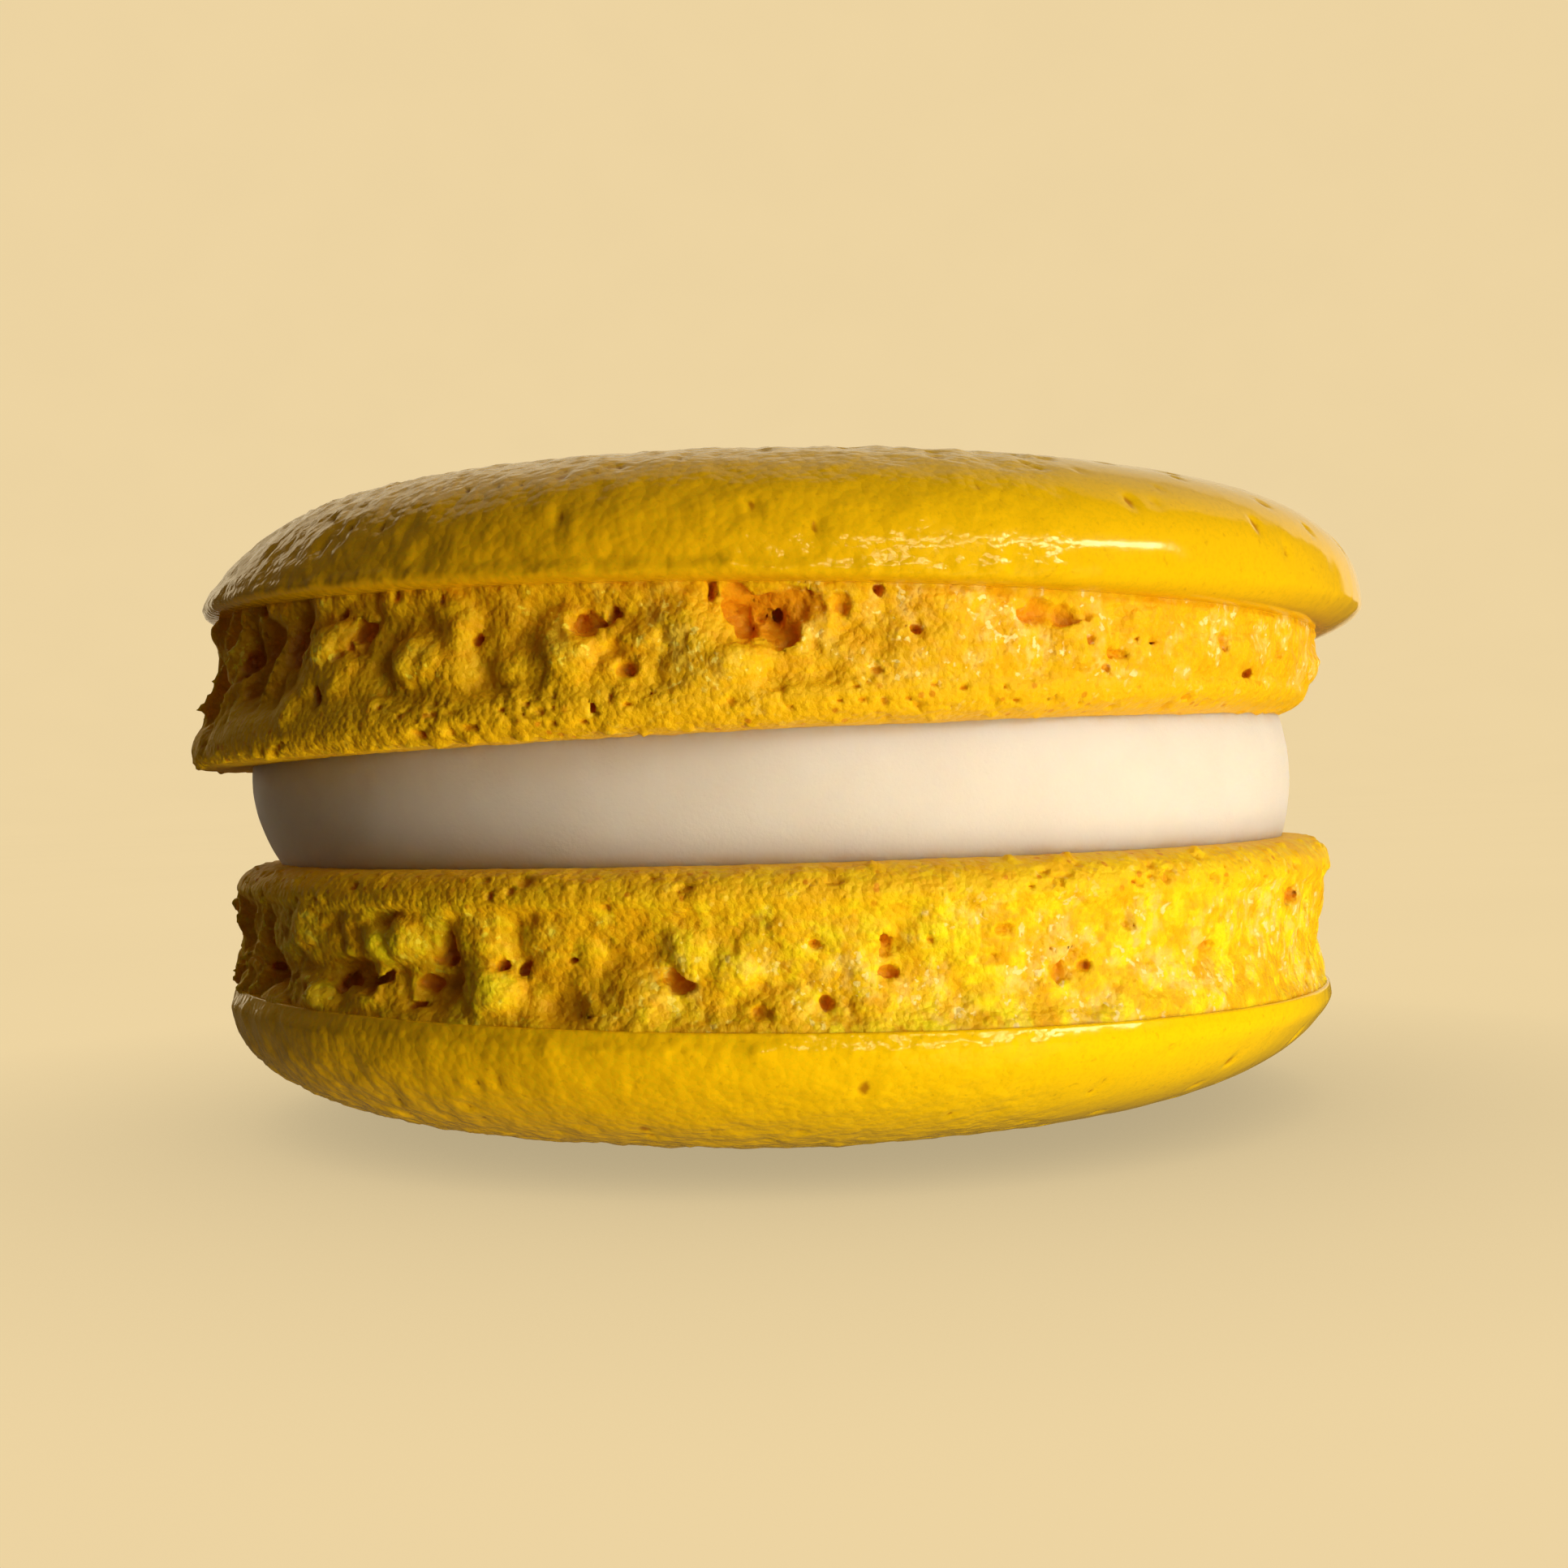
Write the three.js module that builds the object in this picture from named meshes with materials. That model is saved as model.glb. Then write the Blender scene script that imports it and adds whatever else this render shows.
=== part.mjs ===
// A french macaron: two almond meringue shells, each a smooth domed cap that rose on a ragged crumb foot,
// with a layer of cream pressed between the two feet.
// Millimetres, +Z up, -Y is the front. The macaron lies on the dome of its lower shell, and the origin is
// the centre of the flat spot there. An azimuth is 0 at the front and grows towards the right, +X.

import * as THREE from "three";
import { mergeVertices } from "three/addons/utils/BufferGeometryUtils.js";

// Driving dimensions. The heights in a shell are measured from its inner face, the one on the cream,
// towards the top of its dome, and averages are taken round the shell.
const UPPER = {
  name: "upper_shell",
  colour: 0xf0b70c,
  seed: 11,
  domeUp: true,
  footHeight: 4.31, // inner face to the lip of the cap, on average
  footSwing: -1.3, // how much higher the lip is on the right than on average
  faceRadius: 20.6, // the flat inner face
  collarRadius: 21.7, // the pressed rim of the foot beside the cream
  collarRound: 0.9, // height of the rim's rounded edge
  waistRadius: 21.6, // the foot at mid height
  creaseRadius: 21.35, // the foot where it meets the lip
  footOval: 0.3, // how much further it stands out under the lip at the front and back
  rimLean: 1.6, // how far the rim leans out on the left, beyond footLean
  footLean: 0.5, // how far the whole foot leans out on the left
  capRadius: 22.4, // the cap at its widest
  lipHeight: 0.8, // the lip to the cap's widest level
  domeHeight: 4.26, // the widest level to the shoulder's top
  domeSwing: -0.86, // the same as footSwing, for the dome
  shoulder: 6.4, // superellipse exponents of the dome: how far out its top stays flat,
  fall: 2.1, // and how round it falls to the widest level
  slump: 0.86, // how far the shoulder has sunk in on the left
  crown: 0.25, // how much higher the middle of the dome is
  flatRadius: 0,
  hollows: [
    // azimuth in degrees, height, width and tallness of the opening, depth
    [-2, 3.4, 2.2, 1.5, 1.5],
    [-17, 3.2, 1.5, 0.5, 0.7],
    [-38, 3.2, 1.8, 0.9, 1.0],
    [21.5, 3.6, 1.7, 0.8, 0.35],
    [33, 2.6, 1.0, 0.5, 0.6],
    [-60, 2.8, 2.3, 1.4, 1.2],
    [-74, 2.2, 1.6, 1.4, 0.9],
  ],
};
const LOWER = {
  name: "lower_shell",
  colour: 0xf6c210,
  seed: 47,
  domeUp: false,
  footHeight: 4.99,
  footSwing: 0.52,
  faceRadius: 20.1,
  collarRadius: 21.35,
  collarRound: 1.0,
  waistRadius: 21.0,
  creaseRadius: 21.2,
  footOval: 0,
  rimLean: 0,
  footLean: -0.1,
  capRadius: 21.5,
  lipHeight: 0.56,
  domeHeight: 4.22,
  domeSwing: 0,
  shoulder: 4.8,
  fall: 1.75,
  slump: 0,
  crown: 0.29,
  flatRadius: 8.5, // the flat spot that the macaron lies on
  hollows: [
    [-31, 2.7, 1.0, 0.8, 0.7],
    [-42, 3.9, 2.8, 1.0, 1.1],
    [-8, 3.6, 0.9, 0.7, 0.7],
    [24.5, 3.5, 0.8, 1.3, 0.8],
    [9, 2.4, 0.7, 0.5, 0.5],
    [-68, 3.2, 2.2, 1.3, 1.0],
  ],
};
const CREAM = {
  name: "cream",
  colour: 0xf3e3cd,
  faceGap: 0.3, // to each shell's inner face
  thickness: 4.12, // between the two inner faces, on the axis
  bottomRadius: 19.6,
  topRadius: 20.1,
  bulge: 0.35, // how far the side swells out between them
  topShift: -0.5, // the cream is squeezed out further on the left at the top
  edgeRound: 0.25,
};
const UPPER_SHIFT = 0.49; // the upper shell lies this far to the right of the lower one
const UPPER_TILT = THREE.MathUtils.degToRad(1.26); // and its right side is a little higher

// How finely the solids are divided.
const AROUND = 144; // segments round a shell
const CREAM_AROUND = 96;
const FOOT_ROWS = 8;
const COLLAR_ROWS = 2;
const LIP_ROWS = 3;
const DOME_ROWS = 6;

// The relief of the crumb: rounded lumps, and hollows that the random draw adds round the back.
const LUMP_SIZE = 2.3;
const LUMP_DEPTH = 0.75;
const BACK_HOLLOWS = 15;
const BACK_FROM = 80; // degrees of azimuth
const BACK_TO = 285;

// The shape of the caps.
const OUTLINE_WAVER = 0.12; // how far the outline strays from a circle
const DOME_FROM = 0.3; // the share of the dome's height where its swing is all in
const SLUMP_LEVEL = 0.6; // the share of the dome's height where its sunk side is deepest,
const SLUMP_SPREAD = 0.45; // and how far up and down that reaches
const SLUMP_FADE = 0.6; // the height over which it begins at the widest level

const QUARTER = Math.PI / 2;
const lerp = THREE.MathUtils.lerp;
const smoothstep = THREE.MathUtils.smoothstep;

// A number from 0 to 1 for each point of a whole-number lattice.
function lattice(ix, iy, iz) {
  let h = (Math.imul(ix, 374761393) + Math.imul(iy, 668265263) + Math.imul(iz, 1440662683)) | 0;
  h = Math.imul(h ^ (h >>> 13), 1274126177);
  return ((h ^ (h >>> 16)) >>> 0) / 4294967296;
}

// Smooth noise from 0 to 1, with features about one unit across.
function noise(x, y, z) {
  const [ix, iy, iz] = [Math.floor(x), Math.floor(y), Math.floor(z)];
  const [u, v, w] = [x - ix, y - iy, z - iz].map((t) => t * t * (3 - 2 * t));
  const along = (dy, dz) => lerp(lattice(ix, iy + dy, iz + dz), lattice(ix + 1, iy + dy, iz + dz), u);
  return lerp(lerp(along(0, 0), along(1, 0), v), lerp(along(0, 1), along(1, 1), v), w);
}

// A seeded random draw, from 0 to 1.
function randomDraw(seed) {
  let count = 0;
  return () => lattice(seed, (count += 1), 7);
}

// Half of the shell's section: inner face, collar, foot, lip, dome.
function sectionOf(shell) {
  const { faceRadius, collarRadius, collarRound, footHeight, capRadius, lipHeight } = shell;
  const points = [new THREE.Vector2(0, 0)];

  for (let i = 0; i <= COLLAR_ROWS; i += 1) {
    const turn = (i / COLLAR_ROWS) * QUARTER;
    const out = lerp(faceRadius, collarRadius, Math.sin(turn));
    points.push(new THREE.Vector2(out, collarRound * (1 - Math.cos(turn))));
  }

  const footSide = new THREE.SplineCurve([
    new THREE.Vector2(collarRadius, collarRound),
    new THREE.Vector2(shell.waistRadius, footHeight * 0.5),
    new THREE.Vector2(shell.creaseRadius, footHeight),
  ]);
  points.push(...footSide.getPoints(FOOT_ROWS).slice(1));

  for (let i = 1; i <= LIP_ROWS; i += 1) {
    const turn = (i / LIP_ROWS) * QUARTER;
    const out = lerp(shell.creaseRadius, capRadius, Math.sin(turn));
    points.push(new THREE.Vector2(out, footHeight + lipHeight * (1 - Math.cos(turn))));
  }

  const widest = footHeight + lipHeight;
  for (let i = DOME_ROWS; i > 0; i -= 1) {
    const turn = (i / (DOME_ROWS + 1)) * QUARTER;
    const radius = capRadius * Math.pow(Math.sin(turn), 2 / shell.shoulder);
    points.push(new THREE.Vector2(radius, widest + domeHeightAt(shell, radius)));
  }
  const top = widest + domeHeightAt(shell, shell.flatRadius);
  if (shell.flatRadius) points.push(new THREE.Vector2(shell.flatRadius, top));
  points.push(new THREE.Vector2(0, top));
  return points;
}

// The dome's height above the cap's widest level.
function domeHeightAt(shell, radius) {
  const out = Math.min(radius / shell.capRadius, 1);
  const round = Math.pow(1 - Math.pow(out, shell.shoulder), 1 / shell.fall);
  return shell.domeHeight * round + shell.crown * (1 - out * out);
}

const shellHeight = (shell) => shell.footHeight + shell.lipHeight + domeHeightAt(shell, shell.flatRadius);

// The hollows of a foot: the ones given, and more round the back.
function hollowsOf(shell) {
  const draw = randomDraw(shell.seed);
  const hollows = shell.hollows.map(([azimuth, height, width, tall, depth]) => ({
    azimuth: THREE.MathUtils.degToRad(azimuth), height, width, tall, depth,
  }));
  for (let i = 0; i < BACK_HOLLOWS; i += 1) {
    const azimuth = THREE.MathUtils.degToRad(lerp(BACK_FROM, BACK_TO, (i + 0.8 * draw()) / BACK_HOLLOWS));
    const height = shell.footHeight * lerp(0.4, 0.85, draw());
    const width = lerp(0.9, 2.5, draw());
    hollows.push({ azimuth, height, width, tall: width * lerp(0.45, 0.8, draw()), depth: 0.55 * width });
  }
  return hollows;
}

// How deep the crumb lies below the plain foot at a point of its side.
function crumbDepth(shell, hollows, azimuth, height) {
  const edge = smoothstep(height, shell.collarRound, shell.collarRound + 0.8)
    * smoothstep(shell.footHeight - height, 0, 0.6);
  const [x, y] = [Math.sin(azimuth), Math.cos(azimuth)].map((side) => (side * shell.waistRadius) / LUMP_SIZE);
  const lump = Math.abs(2 * noise(x, y, height / LUMP_SIZE + shell.seed) - 1);
  let depth = edge * LUMP_DEPTH * (0.6 - lump);
  for (const hollow of hollows) {
    const turn = Math.atan2(Math.sin(azimuth - hollow.azimuth), Math.cos(azimuth - hollow.azimuth));
    const across = (turn * shell.waistRadius) / (0.5 * hollow.width);
    const up = (height - hollow.height) / (0.5 * hollow.tall);
    depth += edge * hollow.depth * Math.exp(-0.7 * (across * across + up * up));
  }
  return depth;
}

// Moves a point of the plain turned shell to where the real, uneven one has it.
function shapeShellPoint(shell, hollows, point) {
  const radius = Math.hypot(point.x, point.y);
  const azimuth = Math.atan2(point.x, -point.y);
  const right = Math.sin(azimuth);
  const height = point.z;
  const { footHeight, domeHeight } = shell;
  const widest = footHeight + shell.lipHeight;
  const up = Math.min(height / footHeight, 1);
  const underLip = 1 - smoothstep(height, footHeight, widest);
  const inDome = smoothstep(height, footHeight, widest + DOME_FROM * domeHeight);

  const lean = shell.footLean + shell.rimLean * (1 - up) * (1 - up);
  const oval = shell.footOval * up * Math.cos(2 * azimuth);
  const waver = OUTLINE_WAVER * (Math.sin(2 * azimuth + shell.seed) + Math.sin(3 * azimuth)) * up;
  const fromShoulder = ((height - widest) / domeHeight - SLUMP_LEVEL) / SLUMP_SPREAD;
  const sunk = shell.slump * Math.exp(-fromShoulder * fromShoulder)
    * smoothstep(-right, 0.1, 1) * smoothstep(height, widest - SLUMP_FADE, widest + SLUMP_FADE);
  const onSide = smoothstep(radius, 0.45 * shell.capRadius, shell.faceRadius);
  let moved = radius + onSide * (underLip * (oval - lean * right) + waver - sunk);
  if (height > 0 && height < footHeight + 0.01) moved -= crumbDepth(shell, hollows, azimuth, height);

  const swing = lerp(shell.footSwing, shell.domeSwing, inDome) * up;
  const raised = (radius / shell.capRadius) * swing * right;
  point.set(moved * Math.sin(azimuth), -moved * Math.cos(azimuth), height + raised);
}

// Joins what a turned section leaves apart, drops what it collapses on the axis, and moves every vertex.
function closedBody(geometry, movePoint) {
  geometry.rotateX(Math.PI / 2);
  geometry.deleteAttribute("normal");
  geometry.deleteAttribute("uv");
  const body = mergeVertices(geometry, 1e-5);
  const kept = [];
  for (let i = 0; i < body.index.count; i += 3) {
    const [a, b, c] = [0, 1, 2].map((corner) => body.index.getX(i + corner));
    if (a !== b && b !== c && c !== a) kept.push(a, b, c);
  }
  body.setIndex(kept);

  const position = body.attributes.position;
  const point = new THREE.Vector3();
  for (let i = 0; i < position.count; i += 1) {
    point.fromBufferAttribute(position, i);
    movePoint(point);
    position.setXYZ(i, point.x, point.y, point.z);
  }
  body.computeVertexNormals();
  return body;
}

function meshOf(piece, geometry, roughness) {
  const mesh = new THREE.Mesh(
    geometry,
    new THREE.MeshStandardMaterial({ color: piece.colour, roughness, metalness: 0 }),
  );
  mesh.name = piece.name;
  return mesh;
}

// A shell, built with its inner face at z = 0 and its dome above or below it.
function buildShell(shell) {
  const hollows = hollowsOf(shell);
  const side = shell.domeUp ? 1 : -1;
  const section = sectionOf(shell).map((point) => new THREE.Vector2(point.x, side * point.y));
  if (!shell.domeUp) section.reverse();
  const body = closedBody(new THREE.LatheGeometry(section, AROUND), (point) => {
    point.z *= side;
    shapeShellPoint(shell, hollows, point);
    point.z *= side;
  });
  return meshOf(shell, body, 0.45);
}

// The cream, built with its lower face at z = 0, under the tilted inner face of the upper shell.
function buildCream() {
  const { thickness, faceGap, bottomRadius, topRadius, bulge, edgeRound } = CREAM;
  const top = thickness - 2 * faceGap;
  const path = new THREE.Path().moveTo(0, 0).lineTo(bottomRadius - edgeRound, 0);
  path.splineThru([
    new THREE.Vector2(bottomRadius, edgeRound),
    new THREE.Vector2((bottomRadius + topRadius) / 2 + bulge, top / 2),
    new THREE.Vector2(topRadius, top - edgeRound),
    new THREE.Vector2(topRadius - edgeRound, top),
  ]);
  path.lineTo(0, top);
  const body = closedBody(new THREE.LatheGeometry(path.getPoints(2), CREAM_AROUND), (point) => {
    const up = point.z / top;
    const tilt = Math.tan(UPPER_TILT) * point.x * up;
    point.x += CREAM.topShift * up;
    point.z += tilt;
  });
  return meshOf(CREAM, body, 0.55);
}

const macaron = new THREE.Group();

const lower = buildShell(LOWER);
lower.position.z = shellHeight(LOWER);

const cream = buildCream();
cream.position.z = lower.position.z + CREAM.faceGap;

const upper = buildShell(UPPER);
upper.position.set(UPPER_SHIFT, 0, lower.position.z + CREAM.thickness);
upper.rotation.y = -UPPER_TILT;

macaron.add(lower, cream, upper);

export default macaron;
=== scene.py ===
import math
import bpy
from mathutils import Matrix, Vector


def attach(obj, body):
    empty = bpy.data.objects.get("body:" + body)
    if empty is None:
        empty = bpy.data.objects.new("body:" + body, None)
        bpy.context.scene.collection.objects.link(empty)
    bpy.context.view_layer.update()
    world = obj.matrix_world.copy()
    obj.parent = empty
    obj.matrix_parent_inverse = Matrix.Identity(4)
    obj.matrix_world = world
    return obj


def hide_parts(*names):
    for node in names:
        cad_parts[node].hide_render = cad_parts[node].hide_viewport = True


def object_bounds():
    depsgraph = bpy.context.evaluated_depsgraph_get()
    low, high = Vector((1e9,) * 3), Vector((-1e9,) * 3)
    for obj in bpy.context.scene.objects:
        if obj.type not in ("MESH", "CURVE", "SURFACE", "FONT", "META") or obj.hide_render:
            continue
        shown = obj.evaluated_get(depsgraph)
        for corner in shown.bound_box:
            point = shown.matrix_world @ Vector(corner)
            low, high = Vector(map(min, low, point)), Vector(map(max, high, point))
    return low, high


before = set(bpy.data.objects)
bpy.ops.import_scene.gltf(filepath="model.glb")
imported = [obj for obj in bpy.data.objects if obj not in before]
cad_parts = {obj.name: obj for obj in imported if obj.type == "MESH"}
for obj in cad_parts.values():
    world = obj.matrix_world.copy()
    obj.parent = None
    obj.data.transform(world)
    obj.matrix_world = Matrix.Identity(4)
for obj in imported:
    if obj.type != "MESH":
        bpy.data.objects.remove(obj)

from types import SimpleNamespace

import bpy
import numpy as np
from bpy.props import FloatProperty, FloatVectorProperty, IntProperty, PointerProperty
from mathutils import Vector

bl_info = {
    "name": "French Macaron",
    "version": (1, 0, 0),
    "blender": (4, 5, 0),
    "location": "3D View > Sidebar > Macaron",
    "description": "Makes a filled macaron: two crumb feet, two smooth caps, the cream, and a plain stage",
    "category": "Add Mesh",
}

MM = 0.001  # the shapes are worked out in millimetres and made in metres
CAD_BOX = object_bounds()

# An azimuth is 0 at the front, -Y, and grows towards the right, +X.
# Heights in a shell start at its inner face, beside the cream.


# ---------------------------------------------------------------- properties

SHELL_LENGTHS = {
    "foot_height": "Inner face to the lip of the cap, on average",
    "foot_swing": "How much higher the lip is on the right",
    "foot_oval": "How much further the foot stands out under the lip at front and back",
    "foot_lean": "How far the whole foot leans out on the left",
    "rim_lean": "How far the rim leans out on the left",
    "face_radius": "The flat inner face",
    "collar_radius": "The pressed rim of the foot beside the cream",
    "collar_round": "Height of the rim's rounded edge",
    "waist_radius": "The foot at mid height",
    "crease_radius": "The foot where it meets the lip",
    "cap_radius": "The cap at its widest",
    "lip_height": "The lip to the cap's widest level",
    "dome_height": "The widest level to the shoulder's top",
    "dome_swing": "How much higher the dome is on the right",
    "slump": "How far the shoulder has sunk in on the left",
    "crown": "How much higher the middle of the dome is",
    "flat_radius": "The flat spot on the dome, if the macaron lies on it",
}
SHELL_NUMBERS = {
    "lip_square": "How squarely the lip turns in to the foot",
    "lip_lean": "How much the lip draws in above its widest level",
    "shoulder": "How far out the dome stays flat",
    "fall": "How round the dome falls to its edge",
    "slant": "How the crags on the left lean",
}


def length(name, description, millimetres):
    return FloatProperty(name=name, description=description, default=millimetres * MM, unit="LENGTH",
                         precision=5)


def colour(name, description, rgb):
    return FloatVectorProperty(name=name, description=description, default=rgb, subtype="COLOR", size=3,
                               min=0.0, max=1.0)


def shell_sizes(seed, **sizes):
    """The properties of a shell: its lengths, given in millimetres, its plain numbers and its seed."""
    properties = {"seed": IntProperty(name="Seed", description="Chooses the crumb", default=seed)}
    for key, value in sizes.items():
        name = key.replace("_", " ").capitalize()
        if key in SHELL_NUMBERS:
            properties[key] = FloatProperty(name=name, description=SHELL_NUMBERS[key], default=value)
        else:
            properties[key] = length(name, SHELL_LENGTHS[key], value)
    return properties


class UpperShellSizes(bpy.types.PropertyGroup):
    """Sizes of the upper shell, measured from its inner face towards the top of its dome"""

    __annotations__ = shell_sizes(
        foot_height=4.31, foot_swing=-1.3, foot_oval=0.3, foot_lean=0.5, rim_lean=1.6,
        face_radius=20.6, collar_radius=21.7, collar_round=0.9, waist_radius=21.6, crease_radius=21.35,
        cap_radius=22.4, lip_height=0.8, lip_square=2.8, lip_lean=0.0,
        dome_height=4.26, dome_swing=-0.86, slump=0.86, crown=0.25, flat_radius=0.0,
        shoulder=6.4, fall=2.1, slant=-0.55, seed=11)


class LowerShellSizes(bpy.types.PropertyGroup):
    """Sizes of the lower shell, measured from its inner face towards the top of its dome"""

    __annotations__ = shell_sizes(
        foot_height=4.99, foot_swing=0.52, foot_oval=0.0, foot_lean=-0.1, rim_lean=0.0,
        face_radius=20.1, collar_radius=21.35, collar_round=1.0, waist_radius=21.0, crease_radius=21.2,
        cap_radius=21.5, lip_height=0.56, lip_square=6.0, lip_lean=0.32,
        dome_height=4.22, dome_swing=0.0, slump=0.0, crown=0.29, flat_radius=8.5,
        shoulder=4.8, fall=1.75, slant=0.55, seed=47)


class CreamSizes(bpy.types.PropertyGroup):
    """Sizes of the cream and of how the upper shell sits on it"""

    thickness: length("Thickness", "Between the two inner faces, on the axis", 4.12)
    bottom_radius: length("Bottom radius", "Where the cream meets the lower foot", 19.6)
    top_radius: length("Top radius", "Where the cream meets the upper foot", 20.1)
    bulge: length("Bulge", "How far the side swells out", 0.35)
    top_shift: length("Top shift", "How far the cream is squeezed to the right at its top", -0.5)
    upper_shift: length("Upper shift", "How far the upper shell lies to the right", 0.49)
    upper_tilt: FloatProperty(
        name="Upper tilt", description="How far the upper shell's right side is raised",
        default=math.radians(1.26), subtype="ANGLE", unit="ROTATION")


class MacaronColours(bpy.types.PropertyGroup):
    """Colours of the shells, the cream and the stage"""

    # Painted light and shade: the lower cap is a lighter, yellower copy of the upper cap's colour, as lit,
    # and the upper one darker, as shaded.
    cap: colour("Upper cap", "The smooth baked skin of the upper shell", (0.86, 0.49, 0.002))
    cap_lower_lit: colour("Lower cap", "The smooth baked skin of the lower shell", (0.99, 0.60, 0.002))
    # Painted shade in the skin's pits, and also the colour of the skin's own brown specks.
    cap_pit_shade_and_speck: colour("Cap pits", "Inside the skin's pinholes", (0.50, 0.20, 0.002))
    # Painted light and shade: the lower crumb is a lighter, yellower copy of the upper crumb's colour, as
    # lit, and the upper one darker, as shaded.
    crumb: colour("Upper crumb", "The crumb of the upper foot", (0.85, 0.495, 0.005))
    crumb_lower_lit: colour("Lower crumb", "The crumb of the lower foot", (0.95, 0.735, 0.008))
    # The darker tone of the clumps; the crumb is also painted toward it as shade on the left and in dips.
    crumb_shade: colour("Crumb shade", "The darker clumps of the crumb", (0.85, 0.46, 0.004))
    # Painted shade: the crumb is darkened toward this colour in the creases between its clumps.
    crumb_crease_shade: colour("Crumb crease", "Between the clumps of the crumb", (0.78, 0.34, 0.003))
    crumb_rim: colour("Rim", "The pressed rim of the feet beside the cream", (0.89, 0.49, 0.005))
    # Painted sheen: the pale patches that stand in for sheen on the crumb.
    crumb_painted_sheen: colour("Pale crumb", "The pale patches of the crumb", (0.96, 0.62, 0.13))
    # Painted shade: the walls of pores and hollows are darkened toward this colour the deeper they lie.
    crumb_hollow_shade: colour("Hollows", "The walls of the pores and hollows", (0.74, 0.29, 0.004))
    # Painted highlight: the small pale spots that stand in for glints on the crumb.
    glint_paint: colour("Sugar", "The small glints on the crumb", (0.98, 0.72, 0.24))
    cream: colour("Cream", "The filling", (0.84, 0.71, 0.56))
    cream_edge: colour("Cream edge", "The filling where the shells colour it", (0.82, 0.58, 0.34))
    stage: colour("Stage", "The floor and backdrop", (0.85, 0.66, 0.36))


# ---------------------------------------------------------------- noise and small helpers

CLUMP_REACH, CREASE_REACH = 0.9, 0.3  # how far a clump and its crease reach, where clumps are 1 apart


def in_mm(group):
    """A property group's values, with the lengths in millimetres."""
    plain = SimpleNamespace()
    for name, prop in group.bl_rna.properties.items():
        if prop.type in {"FLOAT", "INT"} and not prop.is_readonly:
            value = getattr(group, name)
            setattr(plain, name, value / MM if prop.unit == "LENGTH" else value)
    return plain


def mix(a, b, t):
    return a + (b - a) * t


def fade(value, low, high):
    """0 below low, 1 above high, and smooth between."""
    t = np.clip((value - low) / (high - low), 0.0, 1.0)
    return t * t * (3.0 - 2.0 * t)


def lattice(ix, iy, iz):
    """A number from 0 to 1 for each point of a whole-number lattice."""
    ix, iy, iz = (np.asarray(i).astype(np.int64).astype(np.uint32) for i in (ix, iy, iz))
    with np.errstate(over="ignore"):
        h = ix * np.uint32(374761393) + iy * np.uint32(668265263) + iz * np.uint32(1440662683)
        h = (h ^ (h >> np.uint32(13))) * np.uint32(1274126177)
    return (h ^ (h >> np.uint32(16))) / 4294967296.0


def noise(x, y, z):
    """Smooth noise from 0 to 1, with features about one unit across."""
    x, y, z = np.broadcast_arrays(x, y, z)
    ix, iy, iz = (np.floor(c) for c in (x, y, z))
    u, v, w = (t * t * (3.0 - 2.0 * t) for t in (x - ix, y - iy, z - iz))

    def along(dy, dz):
        return mix(lattice(ix, iy + dy, iz + dz), lattice(ix + 1, iy + dy, iz + dz), u)

    return mix(mix(along(0, 0), along(1, 0), v), mix(along(0, 1), along(1, 1), v), w)


def clumps(x, y, z, seed):
    """For rounded clumps about one unit across: how high a point lies on its clump, from 0 between clumps
    to 1 on top, how near it is to the crease between two clumps, and a number from 0 to 1 for the clump."""
    x, y, z = np.broadcast_arrays(x, y, z)
    ix, iy, iz = (np.floor(c) for c in (x, y, z))
    nearest, second, drawn = (np.full(x.shape, start) for start in (9.0, 9.0, 0.0))
    for step in np.ndindex(3, 3, 3):
        cx, cy, cz = ix + step[0] - 1, iy + step[1] - 1, iz + step[2] - 1
        away = np.sqrt((cx + lattice(cx, cy, cz + seed) - x) ** 2
                       + (cy + lattice(cx + 31, cy, cz + seed) - y) ** 2
                       + (cz + lattice(cx, cy + 57, cz + seed) - z) ** 2)
        closer = away < nearest
        second = np.where(closer, nearest, np.minimum(second, away))
        drawn = np.where(closer, lattice(cx + 5, cy + 3, cz + seed), drawn)
        nearest = np.where(closer, away, nearest)
    top = np.sqrt(np.clip(1.0 - (nearest / CLUMP_REACH) ** 2, 0.0, 1.0))
    return top, 1.0 - fade(second - nearest, 0.0, CREASE_REACH), drawn


def ridges(x, y, z):
    """0 along sharp, winding lines about one unit apart, and up to 1 between them."""
    return np.abs(2.0 * noise(x, y, z) - 1.0)


def smooth_max(a, b, soft):
    """The larger of two values, rounded where they are within the soft length of each other."""
    h = np.clip(1.0 - np.abs(a - b) / soft, 0.0, 1.0)
    return np.maximum(a, b) + h * h * soft / 4.0


def calm(right):
    """0 on the craggy left, where the shells' colours are painted browner and darker as shade, and 1 on the
    smoother, lit right.
    """
    return fade(right, -0.45, 0.45)


def sleek(right):
    """The skin is pebbly on the left and in front, 0, and sleek on the right, 1."""
    return fade(right, 0.30, 0.46)


# ---------------------------------------------------------------- the form of a shell

LUMP_SIZE, LUMP_DEPTH = 2.3, 0.75
LUMP_LEVEL = 0.6  # the share of a lump that stands out from the plain foot
BACK_HOLLOWS = 15
BACK_FROM, BACK_TO = 80.0, 285.0  # degrees of azimuth
OUTLINE_WAVER = 0.12
DOME_FROM = 0.3  # the share of the dome in which it comes to swing by its own measure
SLUMP_LEVEL, SLUMP_SPREAD = 0.6, 0.45  # where on the dome the shoulder has sunk in, and how widely
SLUMP_FADE = 0.6

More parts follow.
